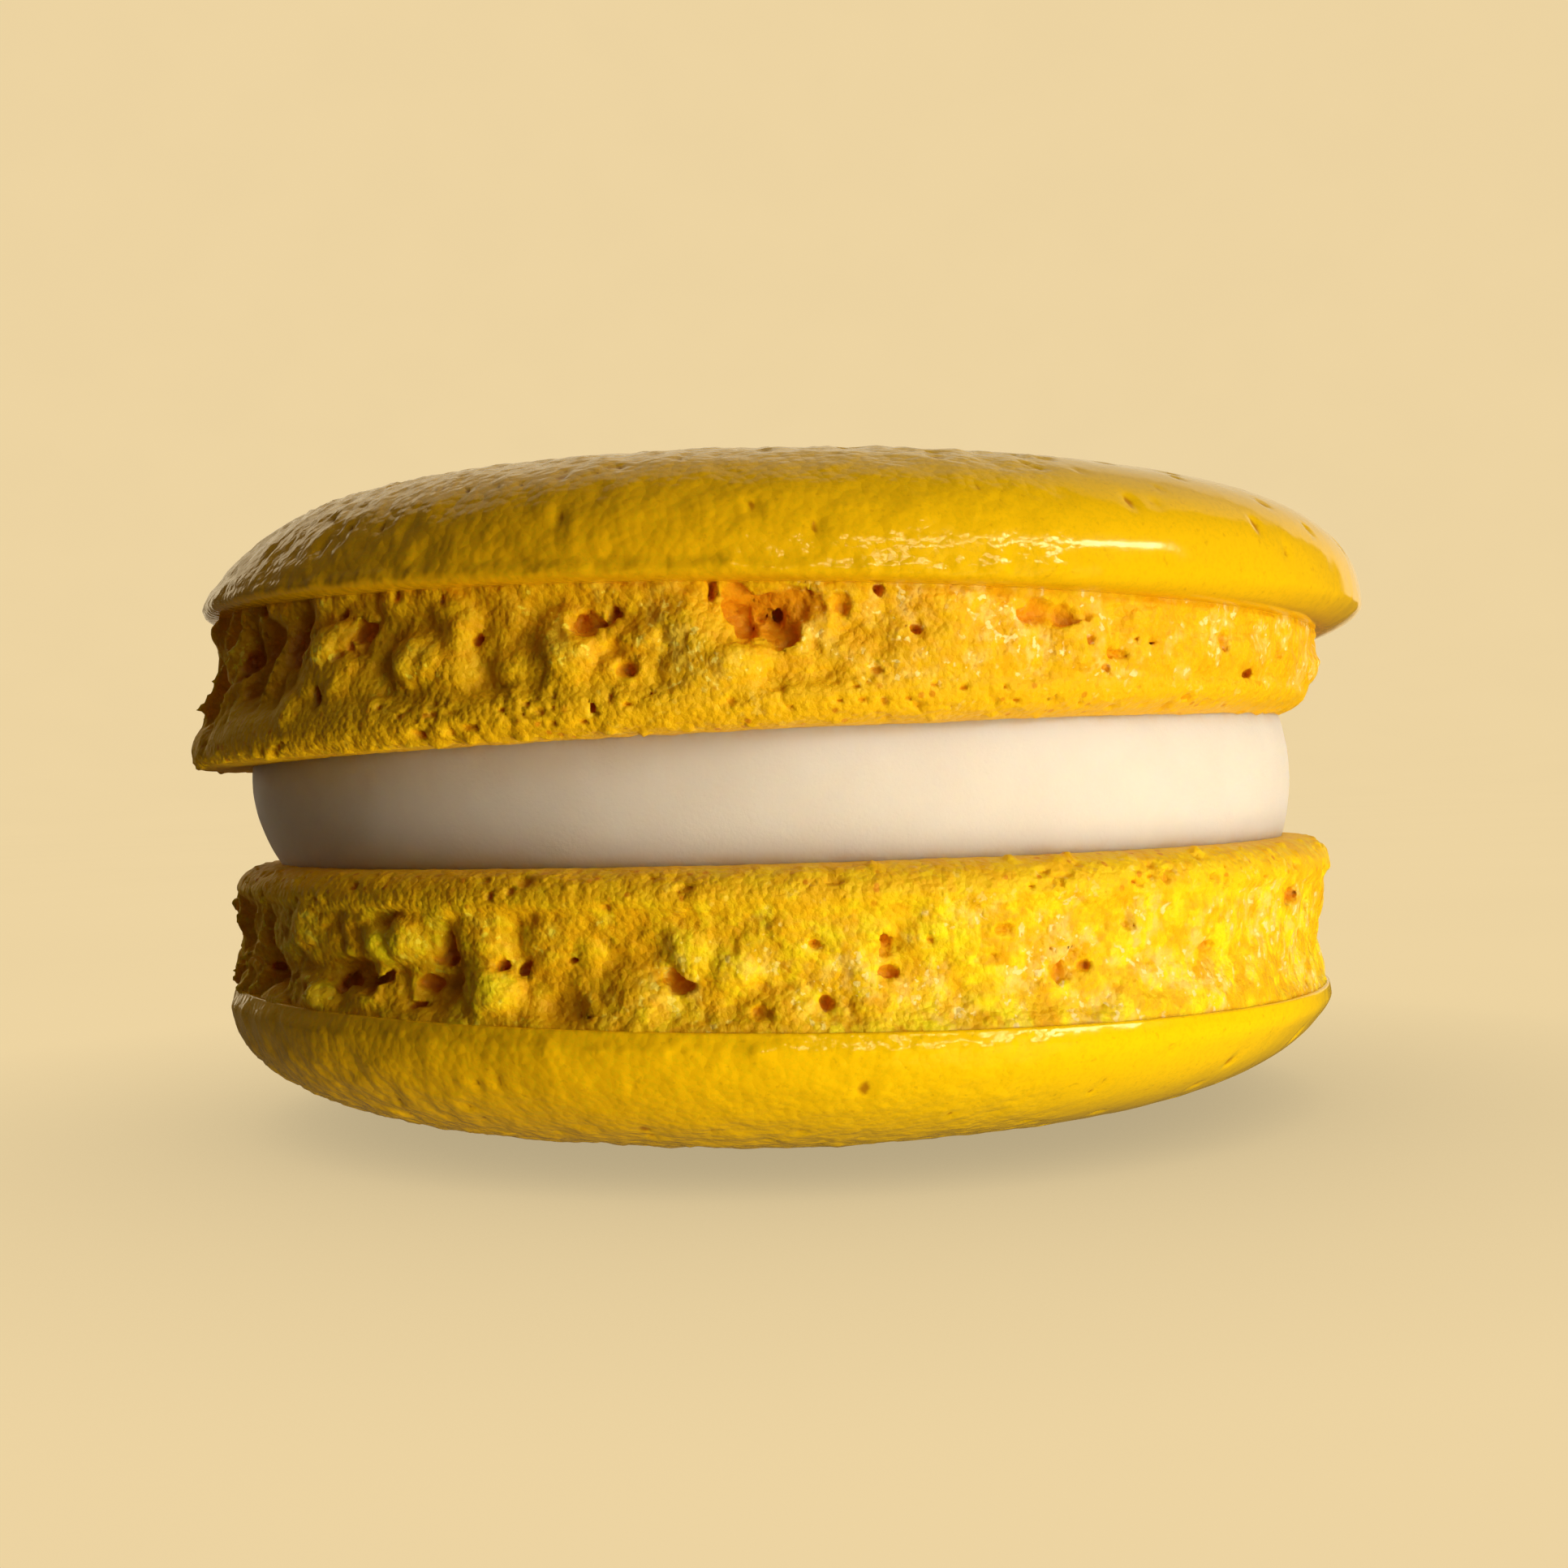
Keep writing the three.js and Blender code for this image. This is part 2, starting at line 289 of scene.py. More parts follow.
# The hollows that show in front: azimuth in degrees, height, width and tallness of the opening, depth.
UPPER_HOLLOWS = (
    (-2.3, 3.35, 3.3, 2.2, 1.3),
    (2.2, 3.6, 1.4, 1.5, 0.7),
    (-5.2, 3.1, 1.0, 0.7, 0.6),
    (-17.5, 3.3, 1.15, 0.42, 1.2),
    (-38.5, 3.1, 1.5, 0.8, 1.3),
    (21.5, 3.6, 1.7, 0.8, 0.35),
    (33, 2.6, 1.0, 0.5, 0.6),
    (-60, 2.8, 2.3, 1.4, 1.2),
    (-74, 2.2, 1.6, 1.4, 0.9),
)
LOWER_HOLLOWS = (
    (-31, 2.7, 1.0, 0.8, 0.7),
    (-42, 3.9, 2.8, 1.0, 1.1),
    (-8, 3.6, 0.9, 0.7, 0.7),
    (24.5, 3.5, 0.8, 1.3, 0.8),
    (9, 2.4, 0.7, 0.5, 0.5),
    (-68, 3.2, 2.2, 1.3, 1.0),
)

# Single pores, cracks and shallow dents that show in front, given in the same way.
UPPER_PORES = (
    (-42.0, 3.7, 0.64, 0.5, 0.6),
    (-43.0, 1.6, 0.43, 0.6, 0.5),
    (-30.7, 0.35, 0.53, 0.25, 0.3),
    (-29.6, 4.0, 0.25, 0.7, 0.4),
    (-26.6, 2.85, 0.5, 0.68, 0.5),
    (-15.4, 0.8, 0.32, 0.36, 0.35),
    (-12.8, 1.85, 0.47, 0.37, 0.3),
    (-6.1, 3.9, 0.24, 0.95, 0.45),
    (-0.6, 3.4, 0.6, 0.8, 1.9),
    (-5.3, 0.8, 0.95, 0.36, 0.25),
    (1.8, 2.5, 0.5, 0.36, 0.12),
    (6.6, 1.65, 0.5, 0.3, 0.16),
    (7.3, 4.1, 0.3, 0.34, 0.3),
    (25.6, 2.65, 0.3, 0.4, 0.4),
    (31.0, 2.65, 0.4, 0.38, 0.4),
    (34.3, 2.3, 0.27, 0.38, 0.35),
    (43.0, 2.9, 0.6, 0.6, 0.15),
)
LOWER_PORES = (
    (-33.6, 3.8, 0.75, 0.55, 0.4),
    (-29.5, 3.9, 0.46, 0.35, 0.35),
    (-25.0, 3.05, 0.32, 0.45, 0.4),
    (-25.1, 0.8, 0.48, 0.36, 0.35),
    (-22.8, 3.15, 0.47, 0.43, 0.2),
    (-22.2, 0.35, 0.46, 0.36, 0.2),
    (-18.3, 2.85, 0.64, 0.36, 0.5),
    (2.6, 2.4, 0.43, 0.38, 0.45),
    (3.4, 4.15, 0.43, 0.43, 0.4),
    (4.2, 0.5, 0.63, 0.52, 0.16),
    (8.5, 3.25, 0.43, 0.22, 0.25),
    (18.6, 2.15, 0.72, 0.26, 0.15),
    (31.0, 2.1, 0.46, 0.27, 0.15),
    (41.3, 3.05, 0.86, 0.22, 0.15),
)

# Mounds, and with a minus the dips between them, given in the same way. The mounds are painted paler, as
# lit, and the dips browner, as shaded.
UPPER_MOUNDS = (
    (-43, 3.0, 1.3, 1.1, 0.3),
    (-47, 1.3, 1.2, 0.8, 0.25),
    (-32, 2.4, 1.9, 1.2, 0.3),
    (-28, 3.6, 1.7, 1.1, 0.35),
    (-23, 2.2, 1.9, 1.0, 0.25),
    (-18, 2.3, 1.8, 0.9, 0.2),
    (-9, 2.9, 2.4, 1.7, 0.3),
    (-4, 2.0, 2.0, 1.2, 0.3),
    (-49, 3.1, 1.2, 1.6, -0.7),
    (-56, 3.4, 2.6, 1.3, -0.8),
    (-65, 2.0, 2.0, 2.6, -0.7),
    (-13, 2.3, 2.0, 0.8, -0.25),
)
LOWER_MOUNDS = (
    (-37, 2.5, 2.7, 1.5, 0.5),
    (-26, 3.9, 2.2, 1.6, 0.45),
    (-47, 4.4, 1.8, 1.0, 0.4),
    (-8, 2.6, 1.4, 1.4, 0.3),
    (-4, 3.2, 1.6, 1.4, 0.25),
    (-43, 3.6, 2.6, 1.2, -0.8),
    (-32, 4.0, 1.8, 1.4, -0.5),
    (-19, 4.4, 1.6, 1.2, -0.35),
    (-59, 4.0, 2.6, 1.8, -0.8),
)


def foot_radius(shell, height):
    """The plain foot's radius at a height above the inner face."""
    h = np.asarray(height, dtype=float)
    low = np.clip(1.0 - h / shell.collar_round, 0.0, 1.0)
    rounded = shell.face_radius + (shell.collar_radius - shell.face_radius) * np.sqrt(1.0 - low * low)
    a, b, c = shell.collar_round, shell.foot_height / 2, shell.foot_height
    t = np.clip(h, a, c)
    curved = (shell.collar_radius * (t - b) * (t - c) / ((a - b) * (a - c))
              + shell.waist_radius * (t - a) * (t - c) / ((b - a) * (b - c))
              + shell.crease_radius * (t - a) * (t - b) / ((c - a) * (c - b)))
    return np.where(h < a, rounded, curved)


def dome_height_at(shell, radius):
    """The dome's height above the cap's widest level."""
    out = np.clip(radius / shell.cap_radius, 0.0, 1.0)
    rounded = (1.0 - out ** shell.shoulder) ** (1.0 / shell.fall)
    return shell.dome_height * rounded + shell.crown * (1.0 - out * out)


def shell_height(shell):
    return shell.foot_height + shell.lip_height + float(dome_height_at(shell, shell.flat_radius))


def lumps(shell, azimuth, height):
    """How deep the crumb's rounded lumps lie below the plain foot."""
    edge = fade(height, shell.collar_round, shell.collar_round + 0.8)
    edge *= fade(shell.foot_height - height, 0.0, 0.6)
    x, y = (side * shell.waist_radius / LUMP_SIZE for side in (np.sin(azimuth), np.cos(azimuth)))
    return edge * LUMP_DEPTH * (LUMP_LEVEL - ridges(x, y, height / LUMP_SIZE + shell.seed))


def in_radians(places):
    """The same places, with each azimuth in radians."""
    return [(math.radians(place[0]), *place[1:]) for place in places]


def all_hollows(shell, front):
    """The front hollows, and more drawn round the back."""
    draws = lattice(shell.seed, np.arange(1, 4 * BACK_HOLLOWS + 1), 7).reshape(BACK_HOLLOWS, 4)
    hollows = in_radians(front)
    for i, (turn, rise, across, tall) in enumerate(draws):
        width = mix(0.9, 2.5, across)
        azimuth = math.radians(mix(BACK_FROM, BACK_TO, (i + 0.8 * turn) / BACK_HOLLOWS))
        height = shell.foot_height * mix(0.4, 0.85, rise)
        hollows.append((azimuth, height, width, width * mix(0.45, 0.8, tall), 0.55 * width))
    return hollows


def shape_shell(shell, azimuth, radius, height):
    """Moves points of the plain turned shell to where the real, uneven one has them. Returns x, y, z."""
    right = np.sin(azimuth)
    widest = shell.foot_height + shell.lip_height
    up = np.clip(height / shell.foot_height, 0.0, 1.0)
    under_lip = 1.0 - fade(height, shell.foot_height, widest)
    in_dome = fade(height, shell.foot_height, widest + DOME_FROM * shell.dome_height)
    lean = shell.foot_lean + shell.rim_lean * (1.0 - up) ** 2
    oval = shell.foot_oval * up * np.cos(2.0 * azimuth)
    waver = OUTLINE_WAVER * (np.sin(2.0 * azimuth + shell.seed) + np.sin(3.0 * azimuth)) * up
    from_slump = ((height - widest) / shell.dome_height - SLUMP_LEVEL) / SLUMP_SPREAD
    sunk = shell.slump * fade(-right, 0.1, 1.0) * fade(height, widest - SLUMP_FADE, widest + SLUMP_FADE)
    sunk *= np.exp(-from_slump ** 2)
    on_side = fade(radius, 0.45 * shell.cap_radius, shell.face_radius)
    moved = radius + on_side * (under_lip * (oval - lean * right) + waver - sunk)
    swing = mix(shell.foot_swing, shell.dome_swing, in_dome) * up
    raised = radius / shell.cap_radius * swing * right
    return moved * right, -moved * np.cos(azimuth), height + raised


# ---------------------------------------------------------------- meshes

def make_piece(name, node, points, faces, material, masks):
    """A closed mesh object from points in millimetres and faces of 3 or 4 corners, facing outwards."""
    faces = [f for f in faces if len(f)]
    loops = np.concatenate([f.ravel() for f in faces])
    sizes = np.concatenate([np.full(len(f), f.shape[1]) for f in faces])
    starts = np.concatenate([[0], np.cumsum(sizes)[:-1]])
    first, second, third = (points[loops[starts + i]] for i in range(3))
    if np.einsum("ij,ij->", first, np.cross(second, third)) < 0.0:
        loops = np.concatenate([f[:, ::-1].ravel() for f in faces])

    mesh = bpy.data.meshes.new(name)
    mesh.vertices.add(len(points))
    mesh.vertices.foreach_set("co", (points * MM).astype(np.float32).ravel())
    mesh.loops.add(len(loops))
    mesh.loops.foreach_set("vertex_index", loops.astype(np.int32))
    mesh.polygons.add(len(sizes))
    mesh.polygons.foreach_set("loop_start", starts.astype(np.int32))
    mesh.polygons.foreach_set("use_smooth", np.ones(len(sizes), dtype=bool))
    mesh.update(calc_edges=True)
    if mesh.validate():
        raise RuntimeError(f"{name} has faces that are not valid")
    for label, values in masks.items():
        mesh.attributes.new(label, "FLOAT", "POINT").data.foreach_set("value", values.astype(np.float32))

    piece = bpy.data.objects.new(name, mesh)
    bpy.context.scene.collection.objects.link(piece)
    mesh.materials.append(material)
    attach(piece, "root")
    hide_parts(node)
    return piece


def turned_rows(rows):
    """Points and faces of a closed turned body. A row is (radius, height, segments), and the next one has
    as many segments or half as many. Returns azimuths, radii, heights and the faces."""
    radii, heights, counts = (np.array(column) for column in zip(*rows))
    starts = np.cumsum(counts) - counts
    total = counts.sum()
    quads, triangles = [], []
    for here, there, start, after in zip(counts, counts[1:], starts, starts[1:]):
        i = after + np.arange(there)
        following = after + (np.arange(there) + 1) % there
        if here == there:
            quads.append(np.stack([i - here, following - here, following, i], axis=1))
        else:
            a = start + 2 * np.arange(there)
            b, c = a + 1, start + (a + 2 - start) % here
            for corners in ((a, b, i), (b, following, i), (b, c, following)):
                triangles.append(np.stack(corners, axis=1))
    for row, side, middle in ((0, 1, total), (-1, -1, total + 1)):
        i = np.arange(counts[row])
        ring = [starts[row] + (i + 1) % counts[row], starts[row] + i, np.full(len(i), middle)]
        triangles.append(np.stack(ring, axis=1)[:, ::side])
    azimuths = [np.arange(count) * 2.0 * math.pi / count for count in counts]
    return (np.concatenate([*azimuths, np.zeros(2)]),
            np.append(np.repeat(radii, counts), [0.0, 0.0]),
            np.append(np.repeat(heights, counts), heights[[0, -1]]),
            [np.concatenate(quads), np.concatenate(triangles)])


# ---------------------------------------------------------------- crumb feet

FOOT_CELL = 0.134  # how finely the crumb is modelled
FOOT_CORE = 19.5  # the crumb reaches in to this radius; inside it the foot is plain
FOOT_TOP = 0.70  # how far the foot reaches up inside the cap
BODY_FROM, BODY_TO = 0.9, 1.7  # the pressed rim gives way to the open crumb at these heights
GROOVE_HEIGHT, GROOVE_WIDTH, GROOVE_DEPTH = 1.45, 0.16, 0.08  # the rim ends in a faint groove
CRAG_DEPTH, CRAG_LEVEL = 1.25, 0.72  # the level is the share of a crag that stands out from the plain foot
CLUMP_SIZE, CLUMP_DEPTH = 1.05, 0.42
KNOT_SIZE, KNOT_DEPTH = 0.46, 0.17  # the small clumps on the large ones
CLUMP_LEVEL = 0.75  # the share of a clump or a knot that stands out
RAGGED_LAYERS = ((0.85, 0.9), (0.42, 0.6), (0.21, 0.4))  # the sizes and strengths of what roughens edges
PATCH_SIZE, PATCH_RADIUS = 2.8, 21.0  # patches of more and fewer pores, and the radius they are drawn at

# How many there are of each, and the least and greatest half-size.
BLOBS, BLOB_SIZES = 260, (0.35, 0.9)
GRAINS, GRAIN_SIZES = 3600, (0.12, 0.26)
PORES, PORE_SIZES = 80, (0.09, 0.24)
RIM_PORES, RIM_PORE_SIZES = 420, (0.07, 0.14)


class CrumbGrid:
    """A ring of cells round a foot that holds, at each corner, how deep it lies inside the crumb."""

    def __init__(self, shell, mounds):
        self.shell = shell
        self.count = int(round(2.0 * math.pi * shell.waist_radius / FOOT_CELL))
        self.step = 2.0 * math.pi * shell.waist_radius / self.count
        self.azimuth = np.arange(self.count) * 2.0 * math.pi / self.count
        self.radius = np.arange(FOOT_CORE, shell.collar_radius + 1.0, FOOT_CELL)
        self.height = np.arange(-3.5 * FOOT_CELL, shell.foot_height + FOOT_TOP, FOOT_CELL)
        self.relief = self.side_relief(mounds)
        self.uncut = self.plain_depth()[None, :, :] - self.relief[:, None, :]
        self.depth = self.uncut.copy()
        a, r, h = np.meshgrid(self.azimuth, self.radius, self.height, indexing="ij")
        x, y = r * np.sin(a), r * np.cos(a)
        self.ragged = np.zeros(a.shape)
        for size, share in RAGGED_LAYERS:
            self.ragged += share * (noise(x / size, y / size, h / size + shell.seed) - 0.5)

    def plain_depth(self):
        """How deep each (radius, height) lies inside the plain foot."""
        shell = self.shell
        rise = np.linspace(0.0, shell.foot_height + 2.0, 500)
        flat = np.linspace(FOOT_CORE - 1.5, shell.face_radius, 200)
        outline_r = np.concatenate([flat, foot_radius(shell, rise)])
        outline_h = np.concatenate([np.zeros(len(flat)), rise])
        r, h = np.meshgrid(self.radius, self.height, indexing="ij")
        away = np.hypot(r[..., None] - outline_r, h[..., None] - outline_h).min(axis=-1)
        return np.where((h > 0.0) & (r < foot_radius(shell, h)), away, -away)

    def side_relief(self, mounds):
        """How deep the side lies below the plain foot: lumps, clumps, slanting crags on the left and the
        rim's groove. Also keeps how near each place is to a crease, where shade is painted, and the tone of
        its clump, which also carries painted shade on the left and in dips and painted light on mounds."""
        shell = self.shell
        a, h = np.meshgrid(self.azimuth, self.height, indexing="ij")
        along = a * shell.waist_radius
        x, y = shell.waist_radius * np.sin(a), shell.waist_radius * np.cos(a)
        body = fade(h, BODY_FROM, BODY_TO)
        rough = 1.0 - 0.5 * calm(np.sin(a))

        crags = fade(-np.sin(a), 0.60, 0.95) * body * fade(shell.foot_height - h, -0.4, 0.5)
        bent = along + shell.slant * h + 1.2 * noise(x / 1.6, y / 1.6, h / 1.6 + shell.seed)
        crest = 1.0 - ridges(bent / 1.4, h / 2.6, shell.seed + 31.0)
        crest += 0.35 * (0.6 - ridges(bent / 0.6, h / 1.1, shell.seed + 32.0))
        top, crease, tone = clumps(x / CLUMP_SIZE, y / CLUMP_SIZE, h / CLUMP_SIZE, shell.seed)
        knot, gap, knot_tone = clumps(x / KNOT_SIZE, y / KNOT_SIZE, h / KNOT_SIZE, shell.seed + 50)

        # Painted shade: how near each place is to a crease, where the material darkens the crumb.
        self.crease = np.maximum(crease * body, 0.7 * gap * mix(0.6, 1.0, body))
        # Painted shade: the tone is made darker on the left, which stands in shade.
        self.tone = mix(knot_tone, tone, 0.5 * body) * mix(0.55, 1.0, calm(np.sin(a)))
        relief = (lumps(shell, a, h) * rough + crags * CRAG_DEPTH * (CRAG_LEVEL - crest)
                  + CLUMP_DEPTH * (CLUMP_LEVEL - top) * (0.4 + 0.6 * tone) * rough * body
                  + KNOT_DEPTH * (CLUMP_LEVEL - knot) * rough * mix(0.4, 1.0, body)
                  + GROOVE_DEPTH * np.exp(-((h - GROOVE_HEIGHT) / GROOVE_WIDTH) ** 2))
        for azimuth, height, width, tall, out in in_radians(mounds):
            turn = (a - azimuth + math.pi) % (2.0 * math.pi) - math.pi
            away = np.hypot(turn * shell.waist_radius / width, (h - height) / tall)
            near = 1.0 - fade(away, 0.2, 0.65)
            relief -= out * near
            # Painted light and shade: mounds are painted paler, as lit, and dips darker, as shaded; dips are
            # also shaded as creases.
            self.tone = mix(self.tone, 0.9 * (out > 0.0), 0.7 * near)
            if out < 0.0:
                self.crease = np.maximum(self.crease, near)
        return relief

    def nearest(self, azimuth, height):
        """The place on the side that is nearest to this one, as a row and a column of the cells."""
        row = np.rint(azimuth / (2.0 * math.pi) * self.count).astype(int) % self.count
        column = np.rint((height - self.height[0]) / FOOT_CELL).astype(int)
        return row, np.clip(column, 0, len(self.height) - 1)

    def surface_radius(self, azimuth, height):
        return float(foot_radius(self.shell, max(height, 0.0))) - self.relief[self.nearest(azimuth, height)]

    def press(self, azimuth, radius, height, sizes, soft, ragged=0.0, hollow=False):
        """Adds a rounded blob, or takes out a hollow, of half-sizes (along, out, up). The soft length
        rounds where it meets the crumb, and the ragged one roughens its edge."""
        reach = [size + ragged + 2.0 * FOOT_CELL for size in sizes]
        along = azimuth * self.shell.waist_radius
        i = np.arange(int(math.floor((along - reach[0]) / self.step)),
                      int(math.ceil((along + reach[0]) / self.step)) + 1)
        j0, j1 = np.searchsorted(self.radius, [radius - reach[1], radius + reach[1]])
        k0, k1 = np.searchsorted(self.height, [height - reach[2], height + reach[2]])
        if j0 >= j1 or k0 >= k1:
            return
        across = ((i * self.step - along) / sizes[0])[:, None, None]
        out = ((self.radius[j0:j1] - radius) / sizes[1])[None, :, None]
        up = ((self.height[k0:k1] - height) / sizes[2])[None, None, :]
        rows = i % self.count
        inside = (1.0 - np.sqrt(across * across + out * out + up * up)) * min(sizes)
        inside += ragged * self.ragged[rows, j0:j1, k0:k1]
        side = -1.0 if hollow else 1.0
        block = self.depth[rows, j0:j1, k0:k1]
        self.depth[rows, j0:j1, k0:k1] = side * smooth_max(side * block, inside, soft)

    def open_pore(self, azimuth, height, sizes, soft=0.02, ragged=0.45, out=0.0):
        """Takes a pore or a hollow out of the surface, or from a little way out of it."""
        radius = self.surface_radius(azimuth, height) + out
        self.press(azimuth, radius, height, sizes, soft, ragged, hollow=True)

    def surface(self):
        """Points (azimuth, radius, height) and four-cornered faces of the surface where the depth is 0."""
        d = self.depth
        n, nr, nh = d.shape
        inside = d > 0.0
        edges = [
            (inside != np.roll(inside, -1, axis=0), d, np.roll(d, -1, axis=0)),
            (inside[:, :-1] != inside[:, 1:], d[:, :-1], d[:, 1:]),
            (inside[:, :, :-1] != inside[:, :, 1:], d[:, :, :-1], d[:, :, 1:]),
        ]
        # Each cell's point is the middle of the places where the surface crosses the cell's edges.
        hits = np.zeros((n, nr - 1, nh - 1))
        total = np.zeros((n, nr - 1, nh - 1, 3))
        for axis, (crossed, low, high) in enumerate(edges):
            at = np.where(crossed, low / np.where(crossed, low - high, 1.0), 0.0)
            others = [other for other in range(3) if other != axis]
            for shift in np.ndindex(*(1 if other == axis else 2 for other in range(3))):
                window = (slice(None), *(slice(shift[i], shift[i] + d.shape[i] - 1) for i in (1, 2)))
                seen, part = (np.roll(values, -shift[0], axis=0)[window] for values in (crossed, at))
                hits += seen
                total[..., axis] += part
                for other in others:
                    total[..., other] += shift[other] * seen
        cells = np.argwhere(hits > 0)
        number = np.full(hits.shape, -1)
        number[tuple(cells.T)] = np.arange(len(cells))
        middle = cells + total[tuple(cells.T)] / hits[tuple(cells.T)][:, None]

        # Each crossed edge has a face between the four cells round it.
        faces = []
        for axis, (crossed, low, _) in enumerate(edges):
            edge = np.nonzero(crossed)
            corners = []
            for back in ((1, 1), (0, 1), (0, 0), (1, 0)):
                cell = np.stack(edge)
                cell[(axis + 1) % 3] -= back[0]
                cell[(axis + 2) % 3] -= back[1]
                cell[0] %= n
                corners.append(cell)
            fits = np.all([(c[1:] >= 0) & (c[1:] < [[nr - 1], [nh - 1]]) for c in corners], axis=(0, 1))
            quad = np.stack([number[tuple(c[:, fits])] for c in corners], axis=1)
            entering = low[edge][fits] <= 0.0
            quad[entering] = quad[entering][:, ::-1]
            faces.append(quad)
        azimuth = middle[:, 0] * 2.0 * math.pi / n
        radius = self.radius[0] + middle[:, 1] * FOOT_CELL
        height = self.height[0] + middle[:, 2] * FOOT_CELL
        return azimuth, radius, height, np.concatenate(faces)

    def below(self, azimuth, radius, height):
        """How far points lie below the crumb's surface as it was before the pores were opened."""
        i = self.nearest(azimuth, height)[0]
        x = np.clip((radius - self.radius[0]) / FOOT_CELL, 0, len(self.radius) - 1.001)
        y = np.clip((height - self.height[0]) / FOOT_CELL, 0, len(self.height) - 1.001)
        j, k = x.astype(int), y.astype(int)
        low = mix(self.uncut[i, j, k], self.uncut[i, j + 1, k], x - j)
        high = mix(self.uncut[i, j, k + 1], self.uncut[i, j + 1, k + 1], x - j)
        return mix(low, high, y - k)


def close_rings(quads, count):
    """Triangles that close each open edge of a ring of faces to a new point on the axis.
    Returns them with, for each opening, the points on its edge."""
    pairs = np.concatenate([quads[:, [i, (i + 1) % 4]] for i in range(4)])
    keys = pairs.min(axis=1) * count + pairs.max(axis=1)
    _, first, used = np.unique(keys, return_index=True, return_counts=True)
    edge = pairs[first[used == 1]]
    onward = dict(edge.tolist())
    triangles, rims = [], []
    while onward:
        start, point = onward.popitem()
        rim = [start]
        while point != start:
            rim.append(point)
            point = onward.pop(point)
        rims.append(rim)
        centre = count + len(rims) - 1
        ring = np.array(rim)
        triangles.append(np.stack([np.roll(ring, -1), ring, np.full(len(ring), centre)], axis=1))
    return np.concatenate(triangles), rims


def crumble(grid, hollows, pores):
    """Covers a foot's side with blobs and grains and opens its pores and hollows."""
    shell = grid.shell
    draw = np.random.default_rng(shell.seed)
    top = shell.foot_height

    def spot(low, high):
        """A place on the side, and how open the crumb is there, from 0 to 1."""
        a, h = draw.uniform(0.0, 2.0 * math.pi), draw.uniform(low, high)
        x, y = (PATCH_RADIUS * part / PATCH_SIZE for part in (math.sin(a), math.cos(a)))
        return a, h, float(noise(x, y, h / 2.0 + shell.seed + 5.0))

    for _ in range(BLOBS):
        a, h = spot(1.1, top + 0.2)[:2]
        size = draw.uniform(*BLOB_SIZES)
        out = grid.surface_radius(a, h) - size * draw.uniform(mix(0.80, 0.92, calm(math.sin(a))), 1.05)
        sizes = [size * draw.uniform(0.9, 1.4), size, size * draw.uniform(0.7, 1.0)]
        grid.press(a, out, h, sizes, soft=0.08)

    for _ in range(GRAINS):
        a, h, patch = spot(0.1, top + 0.2)
        size = mix(*GRAIN_SIZES, draw.random() ** 2)
        out = grid.surface_radius(a, h) - size * draw.uniform(0.55, 1.0) - 0.05 * (1.0 - patch)
        grid.press(a, out, h, [size * draw.uniform(0.8, 1.5), size, size], soft=0.07)

    for azimuth, height, width, tall, depth in hollows:
        # A large hollow is a cluster of smaller ones, so its edge is ragged.
        for blob in range(6):
            scale = 0.8 if blob == 0 else draw.uniform(0.3, 0.6)
            drift = 0.0 if blob == 0 else 1.0
            a = azimuth + drift * draw.uniform(-0.4, 0.4) * width / shell.waist_radius
            h = height + drift * draw.uniform(-0.4, 0.4) * tall
            sizes = [scale * width / 2, scale * depth, scale * tall / 2]
            grid.open_pore(a, h, sizes, soft=0.03, ragged=0.7, out=0.1)

    for azimuth, height, width, tall, depth in pores:
        grid.open_pore(azimuth, height, [width / 2, depth, tall / 2])

    for _ in range(PORES):
        a, h, patch = spot(1.2, top)
        size = mix(*PORE_SIZES, draw.random() ** 2.5)
        if draw.random() < 1.6 * patch:
            sizes = [size * draw.uniform(0.9, 2.0), size * 1.8, size * draw.uniform(0.7, 1.2)]
            grid.open_pore(a, h, sizes)

    for _ in range(RIM_PORES):
        a, h, patch = spot(0.2, 1.25)
        size = mix(*RIM_PORE_SIZES, draw.random() ** 2.5)
        if patch > 0.5:
            grid.open_pore(a, h, [size * draw.uniform(1.0, 2.2), 0.25, size], ragged=0.0)

    near = np.abs(grid.depth) < 0.4
    grid.depth[near] += 0.06 * grid.ragged[near]


def build_foot(shell, hollows, pores, mounds):
    """The crumb foot of a shell. Returns azimuth, radius, height, faces, and masks for each point: how far
    below the open surface it lies, in millimetres, which sets the painted shade in hollows, how near it is
    to a crease, where shade is painted, its tone, which also carries painted light and shade, how much it
    belongs to the rim, and how calm and lit its side is."""
    grid = CrumbGrid(shell, mounds)
    crumble(grid, all_hollows(shell, hollows), in_radians(pores))
    # The core, and the top that the cap covers, are plain.
    hidden = grid.height > shell.foot_height + 0.25
    grid.depth[:, :, hidden] = (shell.crease_radius - 0.02 - grid.radius)[None, :, None]
    grid.depth[:, :3, :] = grid.uncut[:, :3, :]
    azimuth, radius, height, quads = grid.surface()
    keep = largest_part(quads, len(azimuth))
    quads = (np.cumsum(keep) - 1)[quads[keep[quads[:, 0]]]]
    azimuth, radius, height = azimuth[keep], radius[keep], height[keep]
    side = grid.nearest(azimuth, height)
    masks = {
        "hollow": grid.below(azimuth, radius, height),
        "crease": grid.crease[side],
        "tone": grid.tone[side],
        "rim": 1.0 - fade(height, BODY_FROM, 1.6),
        "calm": calm(np.sin(azimuth)),
    }
    triangles, rims = close_rings(quads, len(azimuth))
    on_axis = np.zeros(len(rims))
    height = np.append(height, [float(np.mean(height[rim])) for rim in rims])
    masks = {name: np.append(values, on_axis) for name, values in masks.items()}
    return np.append(azimuth, on_axis), np.append(radius, on_axis), height, [quads, triangles], masks


